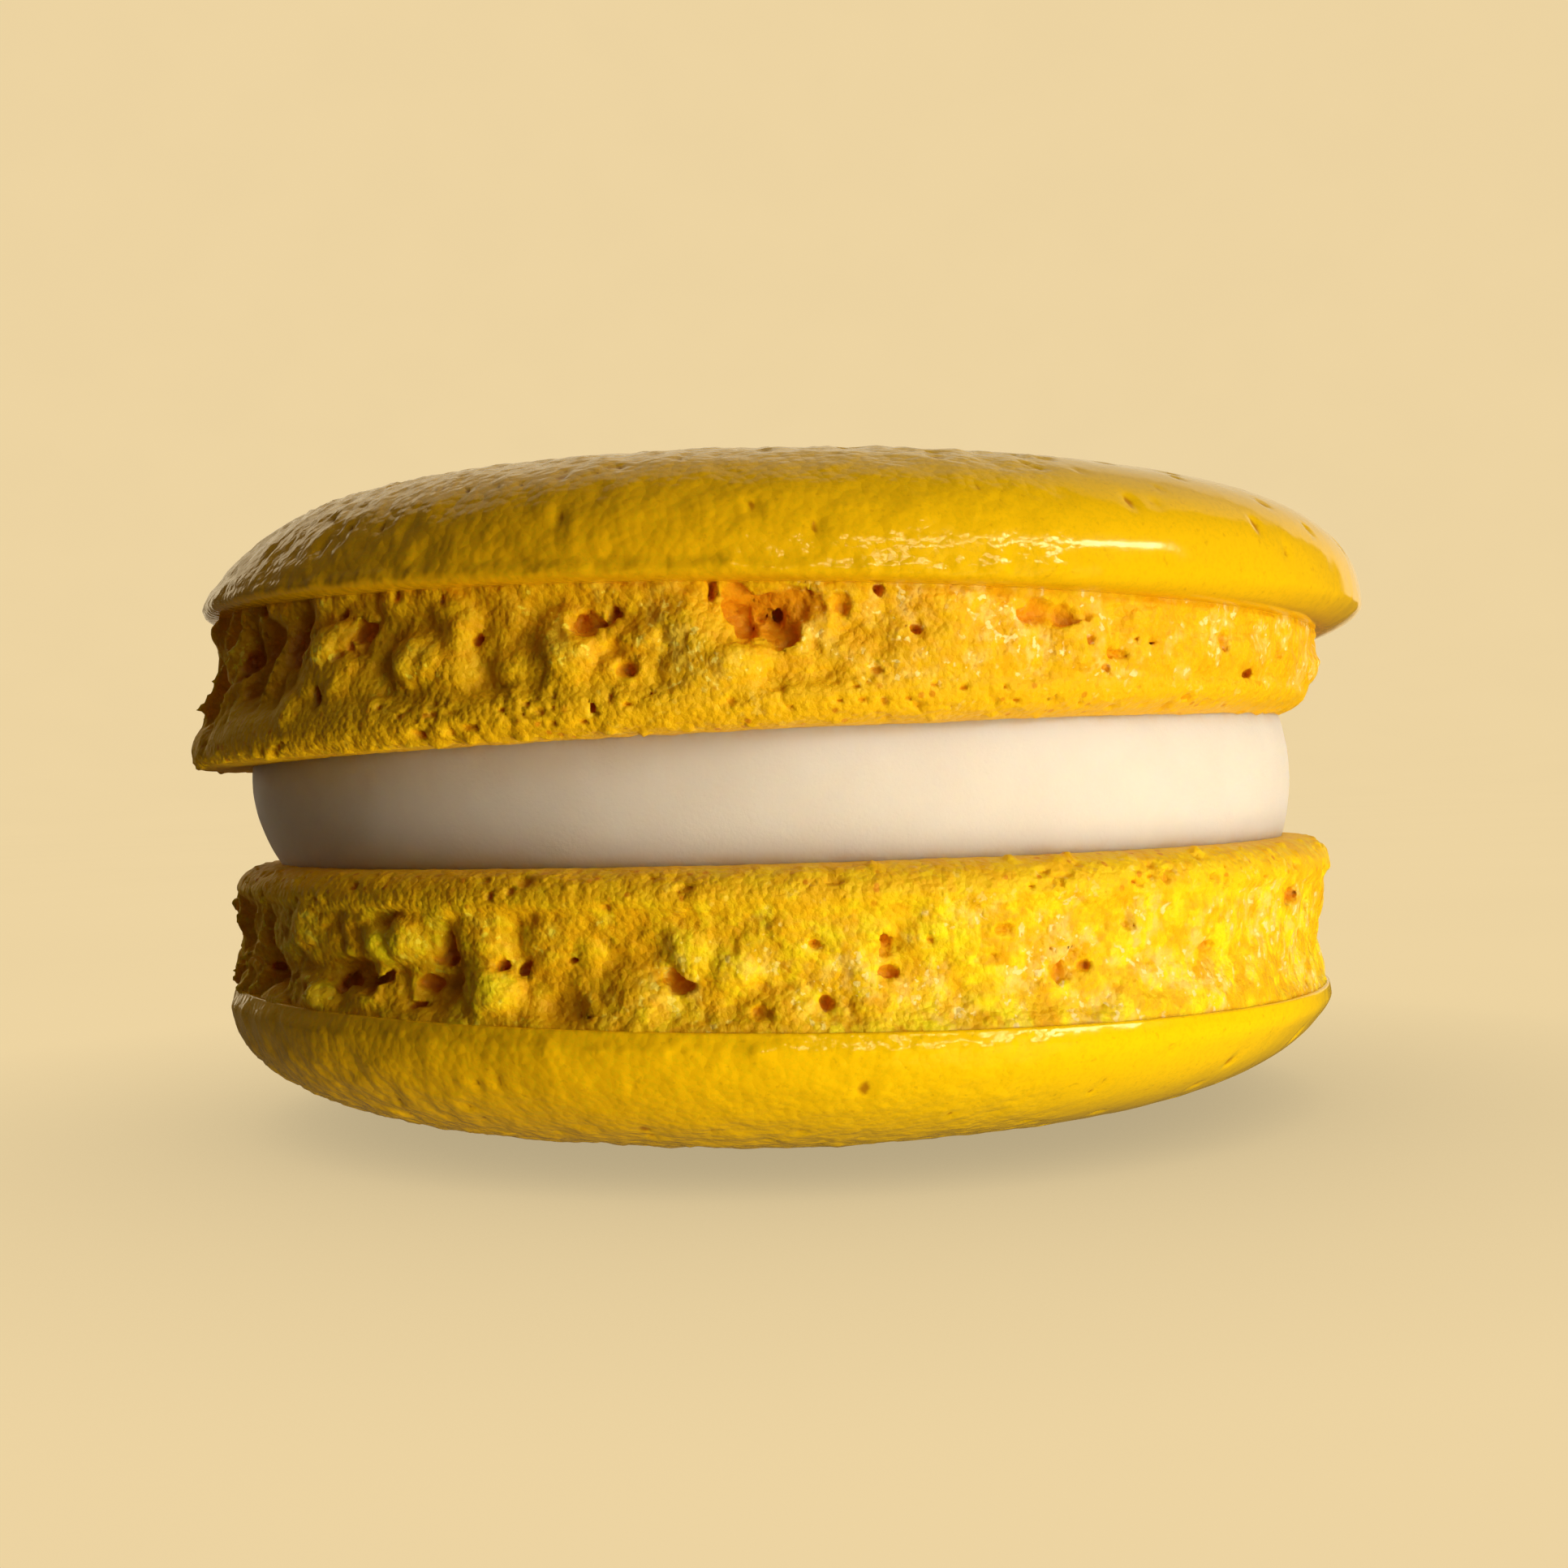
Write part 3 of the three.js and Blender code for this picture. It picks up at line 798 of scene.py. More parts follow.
def largest_part(quads, count):
    """True for the points of the largest connected part."""
    label = np.arange(count)
    while True:
        lowest = label[quads].min(axis=1)
        before = label.copy()
        for corner in range(4):
            np.minimum.at(label, quads[:, corner], lowest)
        label = label[label]
        if np.array_equal(label, before):
            break
    names, sizes = np.unique(label, return_counts=True)
    return label == names[np.argmax(sizes)]


# ---------------------------------------------------------------- caps

CAP_SEGMENTS = 1216
FEWEST_SEGMENTS = 136
RIM_STEP, TOP_STEP = 0.12, 0.22  # how far apart the rows are up to the cap's widest level, and above it
LIP_FINE = 0.7  # the rows are twice as close in this much of the lip
LIP_TURN = 0.08  # how gently the lip begins to draw in
CAP_PITS, PIT_SIZES, PIT_DEPTH = 420, (0.15, 0.34), 0.18


def cap_rows(shell):
    """The rows of a cap: up its lip, over the shoulder and in to the middle of the dome."""
    widest = shell.foot_height + shell.lip_height
    under = [(shell.crease_radius - 1.2, shell.foot_height + 0.12),
             (shell.crease_radius - 0.3, shell.foot_height)]
    part = np.cos(np.linspace(0.0, math.pi / 2, 200))
    off = part * shell.lip_height
    square = (1.0 - part ** shell.lip_square) ** (1.0 / shell.lip_square)
    turned_in = mix(shell.crease_radius, shell.cap_radius, square)
    drawn_in = shell.lip_lean * (off - LIP_TURN * (1.0 - np.exp(-off / LIP_TURN)))
    lip = list(zip(np.minimum(turned_in, shell.cap_radius - drawn_in), widest - off))
    turn = np.linspace(math.pi / 2, 0.0, 1200) ** 1.5 * (math.pi / 2) ** -0.5
    radius = shell.cap_radius * np.sin(turn) ** (2.0 / shell.shoulder)
    dome = list(zip(radius, widest + dome_height_at(shell, np.maximum(radius, shell.flat_radius))))
    outline = np.array(under + lip + dome)
    run = np.concatenate([[0.0], np.cumsum(np.hypot(*np.diff(outline, axis=0).T))])

    rows, at, segments = [], 0.0, CAP_SEGMENTS
    while at < run[-1] - 0.3:
        r, h = (float(np.interp(at, run, line)) for line in outline.T)
        halving_radius = 1.1 * shell.cap_radius * segments / CAP_SEGMENTS
        if h > widest and segments > FEWEST_SEGMENTS and r < halving_radius:
            segments //= 2
        rows.append((r, h, segments))
        step = RIM_STEP if segments == CAP_SEGMENTS else TOP_STEP
        at += 0.5 * step if -LIP_FINE < h - widest < 0.0 else step
    return rows


def cap_relief(shell, x, y, h, azimuth):
    """How far the skin stands out, in millimetres."""
    widest = shell.foot_height + shell.lip_height
    soft = 0.10 * (noise(x / 7.0, y / 7.0, h / 4.0 + shell.seed) - 0.5)
    peel = 0.12 * (noise(x / 0.8, y / 0.8, h / 0.8 + 3.0) - 0.5)
    peel += 0.09 * (noise(x / 0.4, y / 0.4, h / 0.4) - 0.5)
    right = x / shell.cap_radius
    left = fade(-right, 0.15, 0.75) * fade(h, widest - 0.3, widest + 1.2)
    along = azimuth * shell.cap_radius
    wrinkle = ridges(along / 0.6, h / 1.2, shell.seed + 1.0)
    wrinkle += 0.6 * ridges(along / 0.4 + h, h / 0.5, shell.seed + 2.0)
    leather = ridges(x / 0.55, y / 0.55, h / 0.45 + shell.seed)
    at_rim = fade(np.hypot(x, y), 0.75 * shell.cap_radius, 0.95 * shell.cap_radius)
    return soft + peel * (1.0 - 0.8 * sleek(right)) - left * (0.07 * at_rim * wrinkle + 0.15 * leather)


def cap_pits(shell, x, y, height):
    """How much each point lies in one of the skin's pinholes, mostly on top, from 0 to 1."""
    draw = np.random.default_rng(shell.seed + 100)
    pit = np.zeros(len(x))
    spots = draw.uniform(-shell.cap_radius, shell.cap_radius, (CAP_PITS, 2))
    widths = mix(*PIT_SIZES, draw.random(CAP_PITS) ** 3)
    above = height > shell.foot_height + shell.lip_height + 0.6
    for (px, py), width in zip(spots, widths):
        near = np.nonzero(above & (np.abs(x - px) < 3 * width) & (np.abs(y - py) < 3 * width))[0]
        away = np.hypot(x[near] - px, y[near] - py) / width
        pit[near] = np.maximum(pit[near], np.exp(-2.0 * away * away))
    return pit


def build_cap(shell):
    """The smooth cap of a shell. Returns azimuth, radius, height, faces, and masks for each point: how much
    it lies in a pit, which is also painted in shade, how sleek the skin is, and how calm and lit its side
    is."""
    azimuth, radius, height, faces = turned_rows(cap_rows(shell))
    x, y = radius * np.sin(azimuth), -radius * np.cos(azimuth)
    pit = cap_pits(shell, x, y, height)
    lip = fade(height, shell.foot_height + 0.02, shell.foot_height + 0.4)
    top = shell_height(shell)
    on_flat = fade(height, top - 0.12, top - 0.02) * (shell.flat_radius > 0)
    relief = (cap_relief(shell, x, y, height, azimuth) - PIT_DEPTH * pit) * (lip * (1.0 - on_flat))
    # Out along the section's own normal: sideways at the rim and up on the dome.
    steep = fade(radius, 0.80 * shell.cap_radius, 0.99 * shell.cap_radius)
    right = x / shell.cap_radius
    masks = {"pit": pit, "sleek": sleek(right), "calm": calm(right)}
    return azimuth, radius + relief * steep, height + relief * (1.0 - steep), faces, masks


# ---------------------------------------------------------------- cream

CREAM_SEGMENTS = 900
CREAM_ROWS = 44
CREAM_SINK = 0.06  # how far the cream is pressed into the crumb


def build_cream(cream, lower):
    """The layer of cream. Returns its points and faces, and a mask of how near each point is to a shell."""
    low, high = -CREAM_SINK, cream.thickness + CREAM_SINK
    rows = [(cream.bottom_radius * part, low, CREAM_SEGMENTS) for part in (0.8, 0.97)]
    for step in np.linspace(0.0, 1.0, CREAM_ROWS):
        swell = cream.bulge * 4.0 * step * (1.0 - step)
        radius = mix(cream.bottom_radius, cream.top_radius, step) + swell
        rows.append((radius, mix(low, high, step), CREAM_SEGMENTS))
    rows += [(cream.top_radius * part, high, CREAM_SEGMENTS) for part in (0.97, 0.8)]
    azimuth, radius, height, faces = turned_rows(rows)
    up = np.clip(height / cream.thickness, 0.0, 1.0)
    side = fade(radius, 0.9 * cream.bottom_radius, 0.99 * cream.bottom_radius)
    x, y = radius * np.sin(azimuth), -radius * np.cos(azimuth)
    sway = 0.22 * (noise(x / 5.0, y / 5.0, height / 4.0 + 9.0) - 0.5)
    grain = 0.02 * (noise(x / 0.5, y / 0.5, height / 0.5) - 0.5)
    radius = radius + side * (sway + grain)
    x, y = radius * np.sin(azimuth) + cream.top_shift * up, -radius * np.cos(azimuth)
    z = height + shell_height(lower) + math.tan(cream.upper_tilt) * x * up
    at_top = fade(height, cream.thickness - 0.45, cream.thickness)
    edge = side * np.maximum(1.0 - fade(height, 0.0, 0.5), at_top)
    return np.stack([x, y, z], axis=-1), faces, {"edge": edge}


# ---------------------------------------------------------------- materials

class Nodes:
    """A short way to lay out a material's nodes."""

    def __init__(self, name):
        self.material = bpy.data.materials.new(name)
        self.material.use_nodes = True
        self.tree = self.material.node_tree
        self.shader = next(n for n in self.tree.nodes if n.type == "BSDF_PRINCIPLED")
        self.position = self.add("ShaderNodeTexCoord").outputs["Object"]

    def add(self, kind, **settings):
        node = self.tree.nodes.new(kind)
        for key, value in settings.items():
            setattr(node, key, value)
        return node

    def link(self, value, socket):
        if isinstance(value, bpy.types.NodeSocket):
            self.tree.links.new(value, socket)
        else:
            socket.default_value = value

    def noise(self, size_mm, detail, roughness=0.55):
        """Noise with features of that size."""
        node = self.add("ShaderNodeTexNoise")
        self.link(self.position, node.inputs["Vector"])
        self.link(1.0 / (size_mm * MM), node.inputs["Scale"])
        self.link(detail, node.inputs["Detail"])
        self.link(roughness, node.inputs["Roughness"])
        return node.outputs["Fac"]

    def cells(self, size_mm):
        """Round cells of that size: the distance from a cell's middle, and a grey drawn for each cell."""
        node = self.add("ShaderNodeTexVoronoi")
        self.link(self.position, node.inputs["Vector"])
        self.link(1.0 / (size_mm * MM), node.inputs["Scale"])
        return node.outputs["Distance"], node.outputs["Color"]

    def spots(self, size_mm, share, radius):
        """Small round spots in a share of the cells."""
        distance, drawn = self.cells(size_mm)
        chosen = self.ramp(drawn, 1.0 - share, 1.05 - share)
        return self.times(self.ramp(distance, radius, 0.5 * radius), chosen)

    def ramp(self, value, low, high, to_low=0.0, to_high=1.0):
        """One end's value below low, the other's above high, and smooth between."""
        node = self.add("ShaderNodeMapRange", interpolation_type="SMOOTHSTEP")
        for item, socket in zip((value, low, high, to_low, to_high), range(5)):
            self.link(item, node.inputs[socket])
        return node.outputs[0]

    def maths(self, operation, a, b):
        node = self.add("ShaderNodeMath", operation=operation)
        self.link(a, node.inputs[0])
        self.link(b, node.inputs[1])
        return node.outputs[0]

    def times(self, a, b):
        return self.maths("MULTIPLY", a, b)

    def blend(self, factor, a, b):
        """Colour a, turning to b as the factor goes to 1."""
        node = self.add("ShaderNodeMix", data_type="RGBA")
        self.link(factor, node.inputs[0])
        for item, socket in ((a, node.inputs[6]), (b, node.inputs[7])):
            self.link(item if isinstance(item, bpy.types.NodeSocket) else (*item, 1.0), socket)
        return node.outputs[2]

    def mask(self, name):
        return self.add("ShaderNodeAttribute", attribute_name=name).outputs["Fac"]

    def bump(self, height, distance_mm, strength, normal=None):
        node = self.add("ShaderNodeBump")
        self.link(strength, node.inputs["Strength"])
        self.link(distance_mm * MM, node.inputs["Distance"])
        self.link(height, node.inputs["Height"])
        if normal is not None:
            self.link(normal, node.inputs["Normal"])
        return node.outputs["Normal"]

    def finish(self, **sockets):
        for name, value in sockets.items():
            self.link(value, self.shader.inputs[name.replace("_", " ")])
        return self.material


def dim(colour, *shares):
    """A colour with its channels times three shares, or all of them times the one share."""
    return [c * share for c, share in zip(colour, shares * 3)]


def crust_material(name, skin_colour, pit_shade_and_speck):
    """The thin, semi-gloss skin of a cap: mottled, painted browner on the left as shade, and pebbly where it
    isn't sleek.
    """
    n = Nodes(name)
    # Painted shade: the skin's colour is made browner on the left, which stands in shade.
    evenly = n.blend(n.mask("calm"), dim(skin_colour, 1.0, 0.85, 1.0), skin_colour)
    base = n.blend(n.ramp(n.noise(2.5, 4.0), 0.35, 0.68), dim(skin_colour, 0.93), skin_colour)
    base = n.blend(0.7, base, evenly)
    mottle = n.ramp(n.noise(0.16, 4.0, 0.7), 0.52, 0.40, 0.0, 0.7)
    base = n.blend(mottle, base, dim(skin_colour, 0.88))
    specks = n.ramp(n.noise(0.25, 2.0), 0.62, 0.74, 0.0, 0.3)
    base = n.blend(specks, base, pit_shade_and_speck)
    # Painted shade: the pits are darkened in colour as well as dented in the mesh.
    base = n.blend(n.ramp(n.mask("pit"), 0.3, 0.8), base, pit_shade_and_speck)
    pebbly = n.ramp(n.mask("sleek"), 0.0, 1.0, 0.9, 0.08)
    skin = n.bump(n.cells(0.34)[0], -0.03, pebbly)
    skin = n.bump(n.noise(0.22, 3.0, 0.6), 0.018, n.ramp(pebbly, 0.0, 1.0, 0.2, 0.8), skin)
    rough = n.ramp(n.noise(0.8, 2.0), 0.3, 0.7, 0.08, 0.13)
    return n.finish(Base_Color=base, Roughness=rough, Normal=skin, Specular_IOR_Level=0.35,
                    Specular_Tint=(1.0, 0.86, 0.5, 1.0))


def crumb_material(name, colours, outer):
    """The open, grainy crumb of a foot, with painted sheen and painted glints on it, and painted
    orange-brown shade in its creases and hollows.
    """
    n = Nodes(name)
    hollow, rim, crease, tone, lit_side = (n.mask(key) for key in ("hollow", "rim", "crease", "tone", "calm"))
    body = n.maths("SUBTRACT", 1.0, rim)
    # The tone varies the crumb's colour at random, and also carries the painted shade on the left and in
    # dips and the painted light on mounds.
    mottle = n.maths("ADD", n.times(tone, 0.6), n.times(n.noise(0.7, 4.0, 0.65), 0.8))
    # The foot's base colour is its own copy of the crumb colour: painted lighter on the lower foot and
    # painted darker on the upper.
    base = n.blend(n.ramp(mottle, 0.45, 0.95), colours.crumb_shade, outer)
    base = n.blend(n.times(rim, 0.6), base, colours.crumb_rim)
    # Painted shade: the crumb is darker in its creases.
    base = n.blend(n.times(n.ramp(crease, 0.35, 1.0), 0.5), base, colours.crumb_crease_shade)

    # Painted sheen: pale patches stand in for sheen on the crumb, with painted glints in them; both are
    # fewer and less pale on the left, which stands in shade.
    pale = n.ramp(n.maths("ADD", n.noise(1.9, 3.0, 0.6), n.times(tone, 0.16)), 0.54, 0.72)
    painted_sheen = n.times(pale, n.ramp(n.noise(0.45, 3.0, 0.6), 0.40, 0.64, 0.0, 0.8))
    sheen_colour, glint_paint = (n.blend(lit_side, dim(pure, 1.0, 1.0, 0.15), pure)
                         for pure in (colours.crumb_painted_sheen, colours.glint_paint))
    base = n.blend(n.times(painted_sheen, body), base, sheen_colour)
    # Painted glints: small pale spots stand in for highlights, kept off the rim, and the crumb is glossier
    # there.
    painted_glints = n.times(n.ramp(pale, 0.0, 0.5), n.ramp(n.noise(0.3, 2.0, 0.5), 0.59, 0.65))
    painted_glints = n.times(painted_glints, n.ramp(rim, 1.0, 0.0, 0.25, 1.0))
    base = n.blend(painted_glints, base, glint_paint)

    # Painted shade: dark spots on the rim, with no hole in the mesh, stand in for shaded pinholes.
    pinholes = n.times(rim, n.spots(0.42, 0.35, 0.34))
    # Painted shade: the deeper a point lies in a pore or hollow, the darker it is painted.
    hollow_and_pinhole_shade = n.maths("MAXIMUM", n.ramp(hollow, 0.04, 0.42), pinholes)
    base = n.blend(hollow_and_pinhole_shade, base, colours.crumb_hollow_shade)
    grain = n.bump(n.cells(0.24)[0], -0.075, 0.8)
    grain = n.bump(n.noise(0.16, 3.0, 0.6), 0.07, 0.8, grain)
    rough = n.ramp(painted_glints, 0.0, 0.6, 0.5, 0.28)
    return n.finish(Base_Color=base, Roughness=rough, Normal=grain, Subsurface_Weight=0.25,
                    Subsurface_Radius=(1.0, 0.8, 0.6), Subsurface_Scale=0.0006, Specular_IOR_Level=0.3,
                    Specular_Tint=(1.0, 0.85, 0.5, 1.0))


def cream_material(colours):
    """Smooth buttercream, faintly grainy, tinted where the shells touch it."""
    n = Nodes("buttercream")
    smear = n.times(n.mask("edge"), n.ramp(n.noise(0.9, 3.0, 0.7), 0.3, 0.75, 0.1, 0.75))
    base = n.blend(n.ramp(n.noise(2.2, 3.0), 0.3, 0.7), dim(colours.cream, 0.96), colours.cream)
    base = n.blend(smear, base, colours.cream_edge)
    grain = n.bump(n.noise(0.16, 3.0, 0.65), 0.025, 0.8)
    return n.finish(Base_Color=base, Roughness=0.5, Normal=grain, Subsurface_Weight=0.8,
                    Subsurface_Radius=(1.0, 0.8, 0.55), Subsurface_Scale=0.005)


def stage_material(colours):
    """Plain paper that glows evenly, with a soft shade where the macaron stands close to it."""
    n = Nodes("stage_paper")
    shade = n.add("ShaderNodeAmbientOcclusion", samples=5)
    n.link(0.026, shade.inputs["Distance"])
    paper = n.blend(n.ramp(n.noise(60.0, 2.0), 0.3, 0.7), dim(colours.stage, 0.99), colours.stage)
    glow = n.blend(shade.outputs["AO"], dim(colours.stage, 0.56, 0.58, 0.62), paper)
    return n.finish(Base_Color=(0.0, 0.0, 0.0, 1.0), Roughness=1.0, Specular_IOR_Level=0.0,
                    Emission_Color=glow, Emission_Strength=1.0)


# ---------------------------------------------------------------- operators

def make_lower(context, name, material, build, *details):
    """Makes a foot or a cap of the lower shell, which lies dome down on the floor."""
    lower = in_mm(context.scene.macaron_lower)
    *places, faces, masks = build(lower, *details)
    x, y, z = shape_shell(lower, *places)
    points = np.stack([x, y, shell_height(lower) - z], axis=-1)
    make_piece(name, "lower_shell", points, faces, material, masks)


def make_upper(context, name, material, build, *details):
    """Makes a foot or a cap of the upper shell, which lies tilted on the cream."""
    scene = context.scene
    upper, lower, cream = map(in_mm, (scene.macaron_upper, scene.macaron_lower, scene.macaron_cream))
    *places, faces, masks = build(upper, *details)
    x, y, z = shape_shell(upper, *places)
    c, s = math.cos(cream.upper_tilt), math.sin(cream.upper_tilt)
    points = np.stack([c * x - s * z + cream.upper_shift, y,
                       s * x + c * z + shell_height(lower) + cream.thickness], axis=-1)
    make_piece(name, "upper_shell", points, faces, material, masks)


class MACARON_OT_lower_foot(bpy.types.Operator):
    """Make the crumb foot of the lower shell"""

    bl_idname = "macaron.lower_foot"
    bl_label = "Lower foot"

    def execute(self, context):
        colours = context.scene.macaron_colours
        crumb = crumb_material("lower_crumb", colours, colours.crumb_lower_lit)
        make_lower(context, "lower_foot", crumb, build_foot, LOWER_HOLLOWS, LOWER_PORES, LOWER_MOUNDS)
        return {"FINISHED"}


class MACARON_OT_lower_cap(bpy.types.Operator):
    """Make the smooth cap of the lower shell"""

    bl_idname = "macaron.lower_cap"
    bl_label = "Lower cap"

    def execute(self, context):
        colours = context.scene.macaron_colours
        crust = crust_material("lower_crust", colours.cap_lower_lit, colours.cap_pit_shade_and_speck)
        make_lower(context, "lower_cap", crust, build_cap)
        return {"FINISHED"}


class MACARON_OT_cream(bpy.types.Operator):
    """Make the layer of cream"""

    bl_idname = "macaron.cream"
    bl_label = "Cream"

    def execute(self, context):
        scene = context.scene
        points, faces, masks = build_cream(in_mm(scene.macaron_cream), in_mm(scene.macaron_lower))
        filling = cream_material(scene.macaron_colours)
        make_piece("cream_layer", "cream", points, faces, filling, masks)
        return {"FINISHED"}


class MACARON_OT_upper_foot(bpy.types.Operator):
    """Make the crumb foot of the upper shell"""

    bl_idname = "macaron.upper_foot"
    bl_label = "Upper foot"

    def execute(self, context):
        colours = context.scene.macaron_colours
        crumb = crumb_material("upper_crumb", colours, colours.crumb)
        make_upper(context, "upper_foot", crumb, build_foot, UPPER_HOLLOWS, UPPER_PORES, UPPER_MOUNDS)
        return {"FINISHED"}


class MACARON_OT_upper_cap(bpy.types.Operator):
    """Make the smooth cap of the upper shell"""

    bl_idname = "macaron.upper_cap"
    bl_label = "Upper cap"

    def execute(self, context):
        colours = context.scene.macaron_colours
        crust = crust_material("upper_crust", colours.cap, colours.cap_pit_shade_and_speck)
        make_upper(context, "upper_cap", crust, build_cap)
        return {"FINISHED"}


# ---------------------------------------------------------------- stage

# The camera: level with the cream, close to the macaron, and turned a little about its line of sight.
IMAGE_SIDE = 1932
FOCAL_PIXELS = 2430
CENTRE_ROW = 975  # the image row at the camera's own level
CAMERA_PLACE = (0.17, -80.0, 12.2)  # in millimetres
CAMERA_ROLL = math.radians(1.6)
SENSOR = 36.0

# The backdrop, in metres: a wide round floor that bends up into a wall.
FLOOR_RADII = (0.02, 0.2, 0.9)
BEND_RADIUS, BEND_STEPS = 0.5, 16
WALL_TOP = 1.2
BACKDROP_SEGMENTS = 96

# The room round it all. The gloss sees a brighter room than the one that lights the macaron.
ROOM_COLOUR = (1.0, 0.66, 0.30)
ROOM_LIGHT, ROOM_GLOSS = 0.035, 0.12

# The lights: azimuth and elevation in degrees, distance, width and height in metres, power in watts,
# colour, and whether they light the macaron and show in its gloss.
PLAIN = (1.0, 0.98, 0.96)
WARM = (1.0, 0.89, 0.70)
AMBER = (1.0, 0.84, 0.55)
LIGHTS = (
    ("key", 58.0, 19.0, 0.40, 0.22, 0.026, 0.47, PLAIN, True, True),
    ("strip", 25.0, 19.0, 0.40, 0.24, 0.030, 0.32, PLAIN, False, True),
    ("high", 44.0, 24.0, 0.45, 0.20, 0.10, 0.21, PLAIN, True, False),
    ("low", 44.0, -12.0, 0.45, 0.20, 0.10, 0.68, PLAIN, True, False),
    ("level", 34.0, -2.0, 0.45, 0.20, 0.10, 0.38, WARM, True, False),
    ("bounce", 43.0, -35.0, 0.50, 0.26, 0.30, 1.44, WARM, True, False),
    ("back", 178.0, 4.0, 0.50, 0.30, 0.20, 1.30, PLAIN, True, False),
    ("back_left", 228.0, 6.0, 0.50, 0.30, 0.20, 0.55, PLAIN, True, False),
    ("behind", 176.0, 18.0, 0.50, 0.86, 0.36, 0.74, AMBER, True, True),
    ("above", 170.0, 54.5, 0.55, 0.86, 0.34, 0.46, AMBER, True, True),
    ("overhead", 0.0, 88.0, 1.10, 1.10, 1.10, 0.80, PLAIN, True, False),
)


def aim(thing, target):
    thing.rotation_euler = (Vector(target) - thing.location).to_track_quat("-Z", "Y").to_euler()


def soft_light(name, azimuth, elevation, distance, width, height, power, tint, diffuse, glossy):
    """A rectangular light that faces the macaron. Angles in degrees, sizes in metres."""
    data = bpy.data.lights.new(name, "AREA")
    data.shape = "RECTANGLE"
    data.size, data.size_y = width, height
    data.energy = power
    data.color = tint
    lamp = bpy.data.objects.new(name, data)
    a, e = math.radians(azimuth), math.radians(elevation)
    centre = sum((Vector(corner) for corner in CAD_BOX), Vector()) / 2
    away = Vector((math.sin(a) * math.cos(e), -math.cos(a) * math.cos(e), math.sin(e)))
    lamp.location = centre + distance * away
    aim(lamp, centre)
    lamp.visible_camera = False
    lamp.visible_diffuse = diffuse
    lamp.visible_glossy = glossy
    bpy.context.scene.collection.objects.link(lamp)


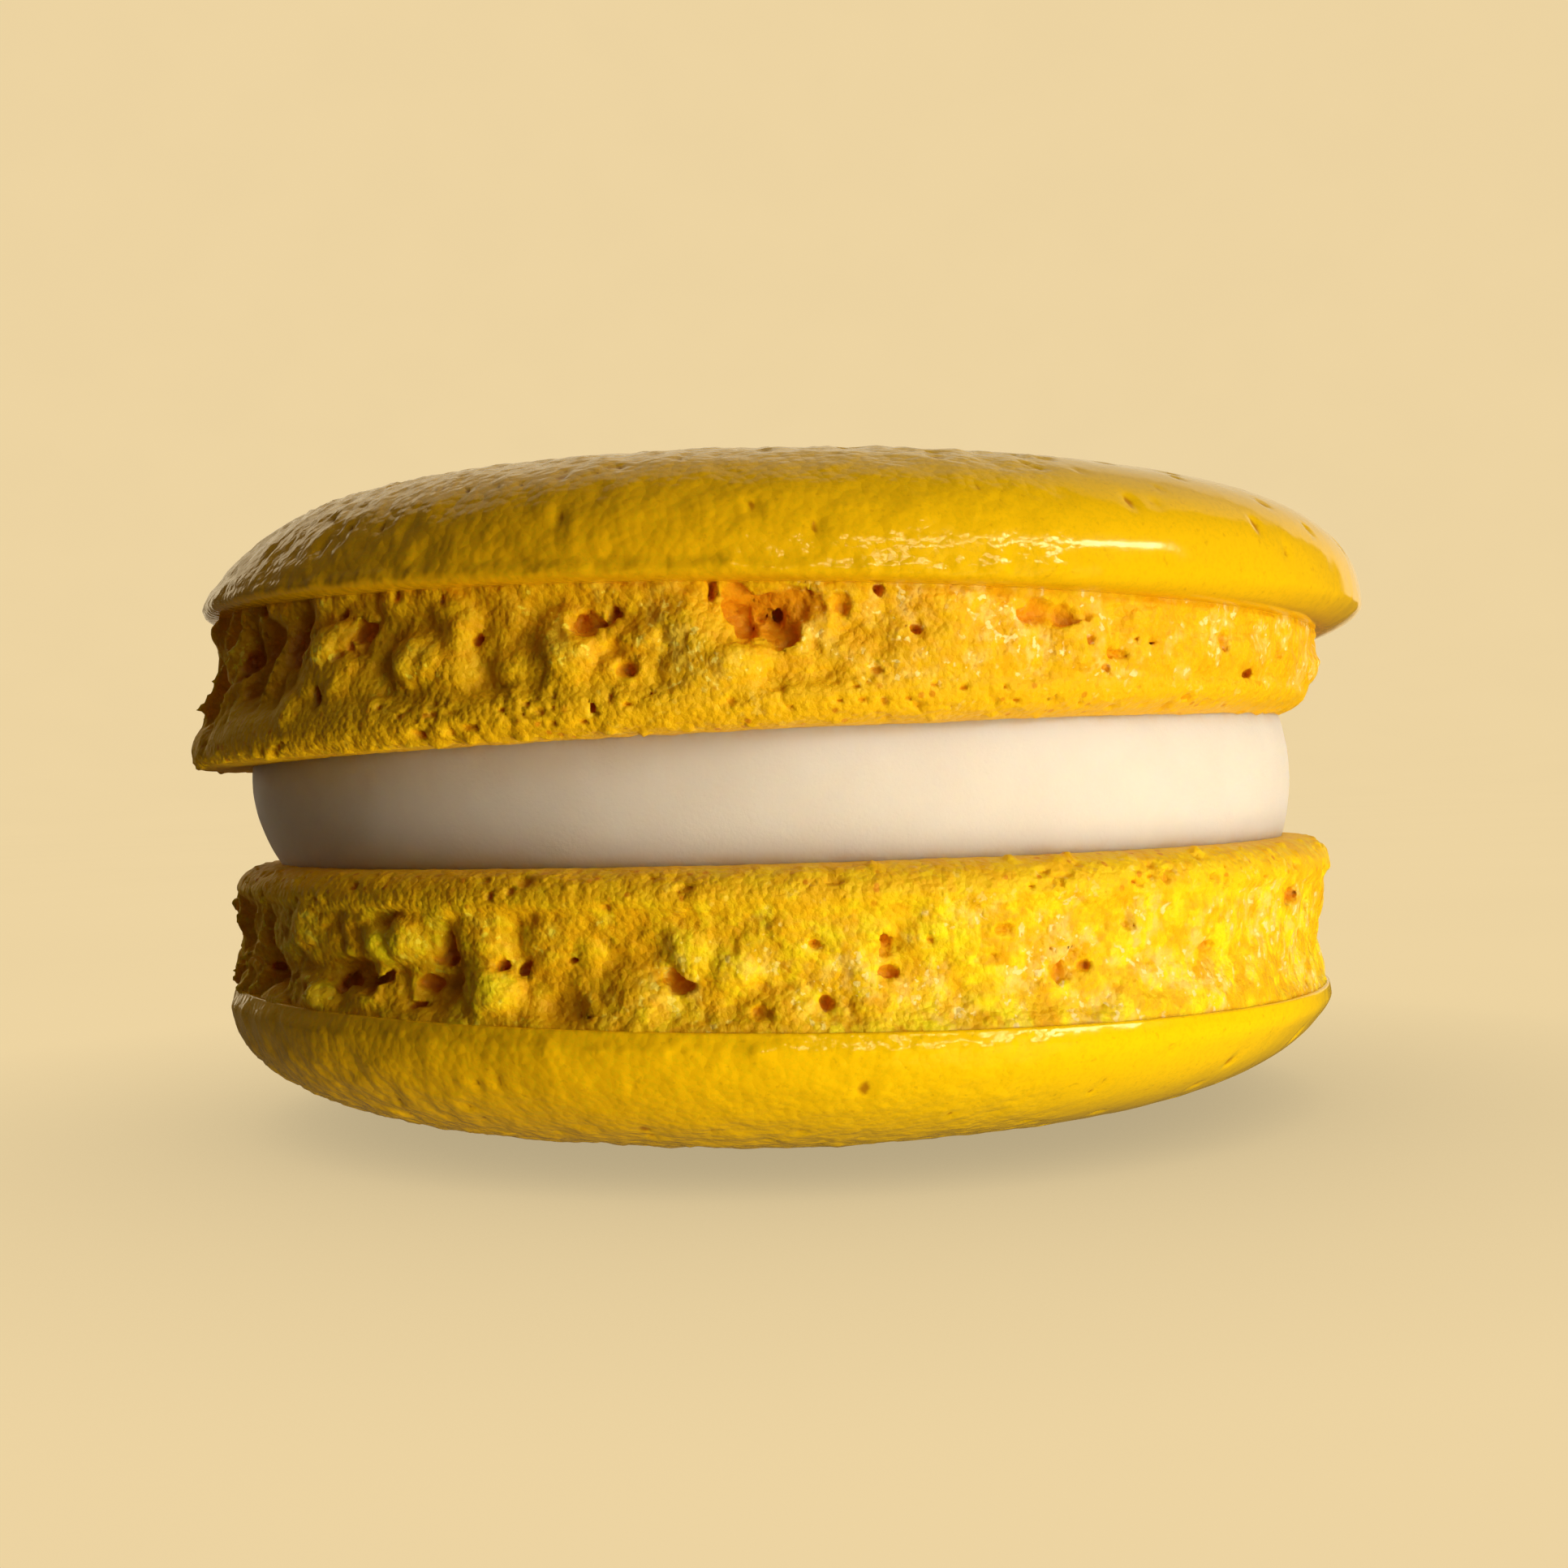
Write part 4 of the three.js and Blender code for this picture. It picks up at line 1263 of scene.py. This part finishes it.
class MACARON_OT_stage(bpy.types.Operator):
    """Make the floor and backdrop, the lights and the camera"""

    bl_idname = "macaron.stage"
    bl_label = "Stage"

    def execute(self, context):
        self.make_backdrop(context.scene)
        self.make_lights(context.scene)
        self.make_camera(context.scene)
        return {"FINISHED"}

    def make_backdrop(self, scene):
        n = BACKDROP_SEGMENTS
        floor = FLOOR_RADII[-1]
        outline = [(radius, 0.0) for radius in FLOOR_RADII]
        for turn in np.linspace(0.0, math.pi / 2, BEND_STEPS + 1)[1:]:
            outline.append((floor + BEND_RADIUS * math.sin(turn), BEND_RADIUS * (1.0 - math.cos(turn))))
        outline.append((floor + BEND_RADIUS, WALL_TOP))
        ring = np.arange(n) * 2.0 * math.pi / n
        points = [(r * math.cos(a), r * math.sin(a), z) for r, z in outline for a in ring]
        points.append((0.0, 0.0, 0.0))
        faces = [(i, (i + 1) % n, len(points) - 1) for i in range(n)]
        for a in range(0, n * (len(outline) - 1), n):
            faces += [(a + i, a + n + i, a + n + (i + 1) % n, a + (i + 1) % n) for i in range(n)]
        mesh = bpy.data.meshes.new("backdrop")
        mesh.from_pydata(points, [], faces)
        mesh.polygons.foreach_set("use_smooth", [True] * len(mesh.polygons))
        mesh.materials.append(stage_material(scene.macaron_colours))
        backdrop = bpy.data.objects.new("backdrop", mesh)
        scene.collection.objects.link(backdrop)
        # It is seen, but it neither lights the macaron nor shades it from the lights below the floor.
        backdrop.visible_diffuse = False
        backdrop.visible_glossy = False
        backdrop.visible_shadow = False

    def make_lights(self, scene):
        world = bpy.data.worlds.new("studio")
        world.use_nodes = True
        nodes, links = world.node_tree.nodes, world.node_tree.links
        room = nodes["Background"]
        room.inputs["Color"].default_value = (*ROOM_COLOUR, 1.0)
        ray = nodes.new("ShaderNodeLightPath")
        strength = nodes.new("ShaderNodeMapRange")
        strength.inputs["To Min"].default_value = ROOM_LIGHT
        strength.inputs["To Max"].default_value = ROOM_GLOSS
        links.new(ray.outputs["Is Glossy Ray"], strength.inputs["Value"])
        links.new(strength.outputs["Result"], room.inputs["Strength"])
        scene.world = world
        for light in LIGHTS:
            soft_light(*light)

    def make_camera(self, scene):
        data = bpy.data.cameras.new("camera")
        data.sensor_width = SENSOR
        data.lens = FOCAL_PIXELS / IMAGE_SIDE * SENSOR
        data.shift_y = (CENTRE_ROW - IMAGE_SIDE / 2) / IMAGE_SIDE
        data.clip_start = 0.005
        camera = bpy.data.objects.new("camera", data)
        camera.location = Vector(CAMERA_PLACE) * MM
        camera.rotation_euler = (math.pi / 2, CAMERA_ROLL, 0.0)
        scene.collection.objects.link(camera)
        scene.camera = camera
        scene.view_settings.view_transform = "Standard"


class MACARON_PT_panel(bpy.types.Panel):
    """Lists the steps that make the macaron"""

    bl_idname = "MACARON_PT_panel"
    bl_label = "French Macaron"
    bl_space_type = "VIEW_3D"
    bl_region_type = "UI"
    bl_category = "Macaron"

    def draw(self, context):
        column = self.layout.column(align=True)
        for operator in OPERATORS:
            column.operator(operator.bl_idname)
        for name in SETTINGS:
            box = self.layout.box()
            group = getattr(context.scene, name)
            for prop in group.bl_rna.properties:
                if prop.identifier not in {"rna_type", "name"}:
                    box.prop(group, prop.identifier)


SETTINGS = {
    "macaron_upper": UpperShellSizes,
    "macaron_lower": LowerShellSizes,
    "macaron_cream": CreamSizes,
    "macaron_colours": MacaronColours,
}
OPERATORS = (
    MACARON_OT_lower_cap,
    MACARON_OT_lower_foot,
    MACARON_OT_cream,
    MACARON_OT_upper_foot,
    MACARON_OT_upper_cap,
    MACARON_OT_stage,
)
CLASSES = (*SETTINGS.values(), *OPERATORS, MACARON_PT_panel)


def register():
    for cls in CLASSES:
        bpy.utils.register_class(cls)
    for name, group in SETTINGS.items():
        setattr(bpy.types.Scene, name, PointerProperty(type=group))


def unregister():
    for name in SETTINGS:
        delattr(bpy.types.Scene, name)
    for cls in reversed(CLASSES):
        bpy.utils.unregister_class(cls)


def main():
    register()
    for operator in OPERATORS:
        family, verb = operator.bl_idname.split(".")
        getattr(getattr(bpy.ops, family), verb)()
    bpy.context.view_layer.update()


if __name__ == "__main__":
    main()
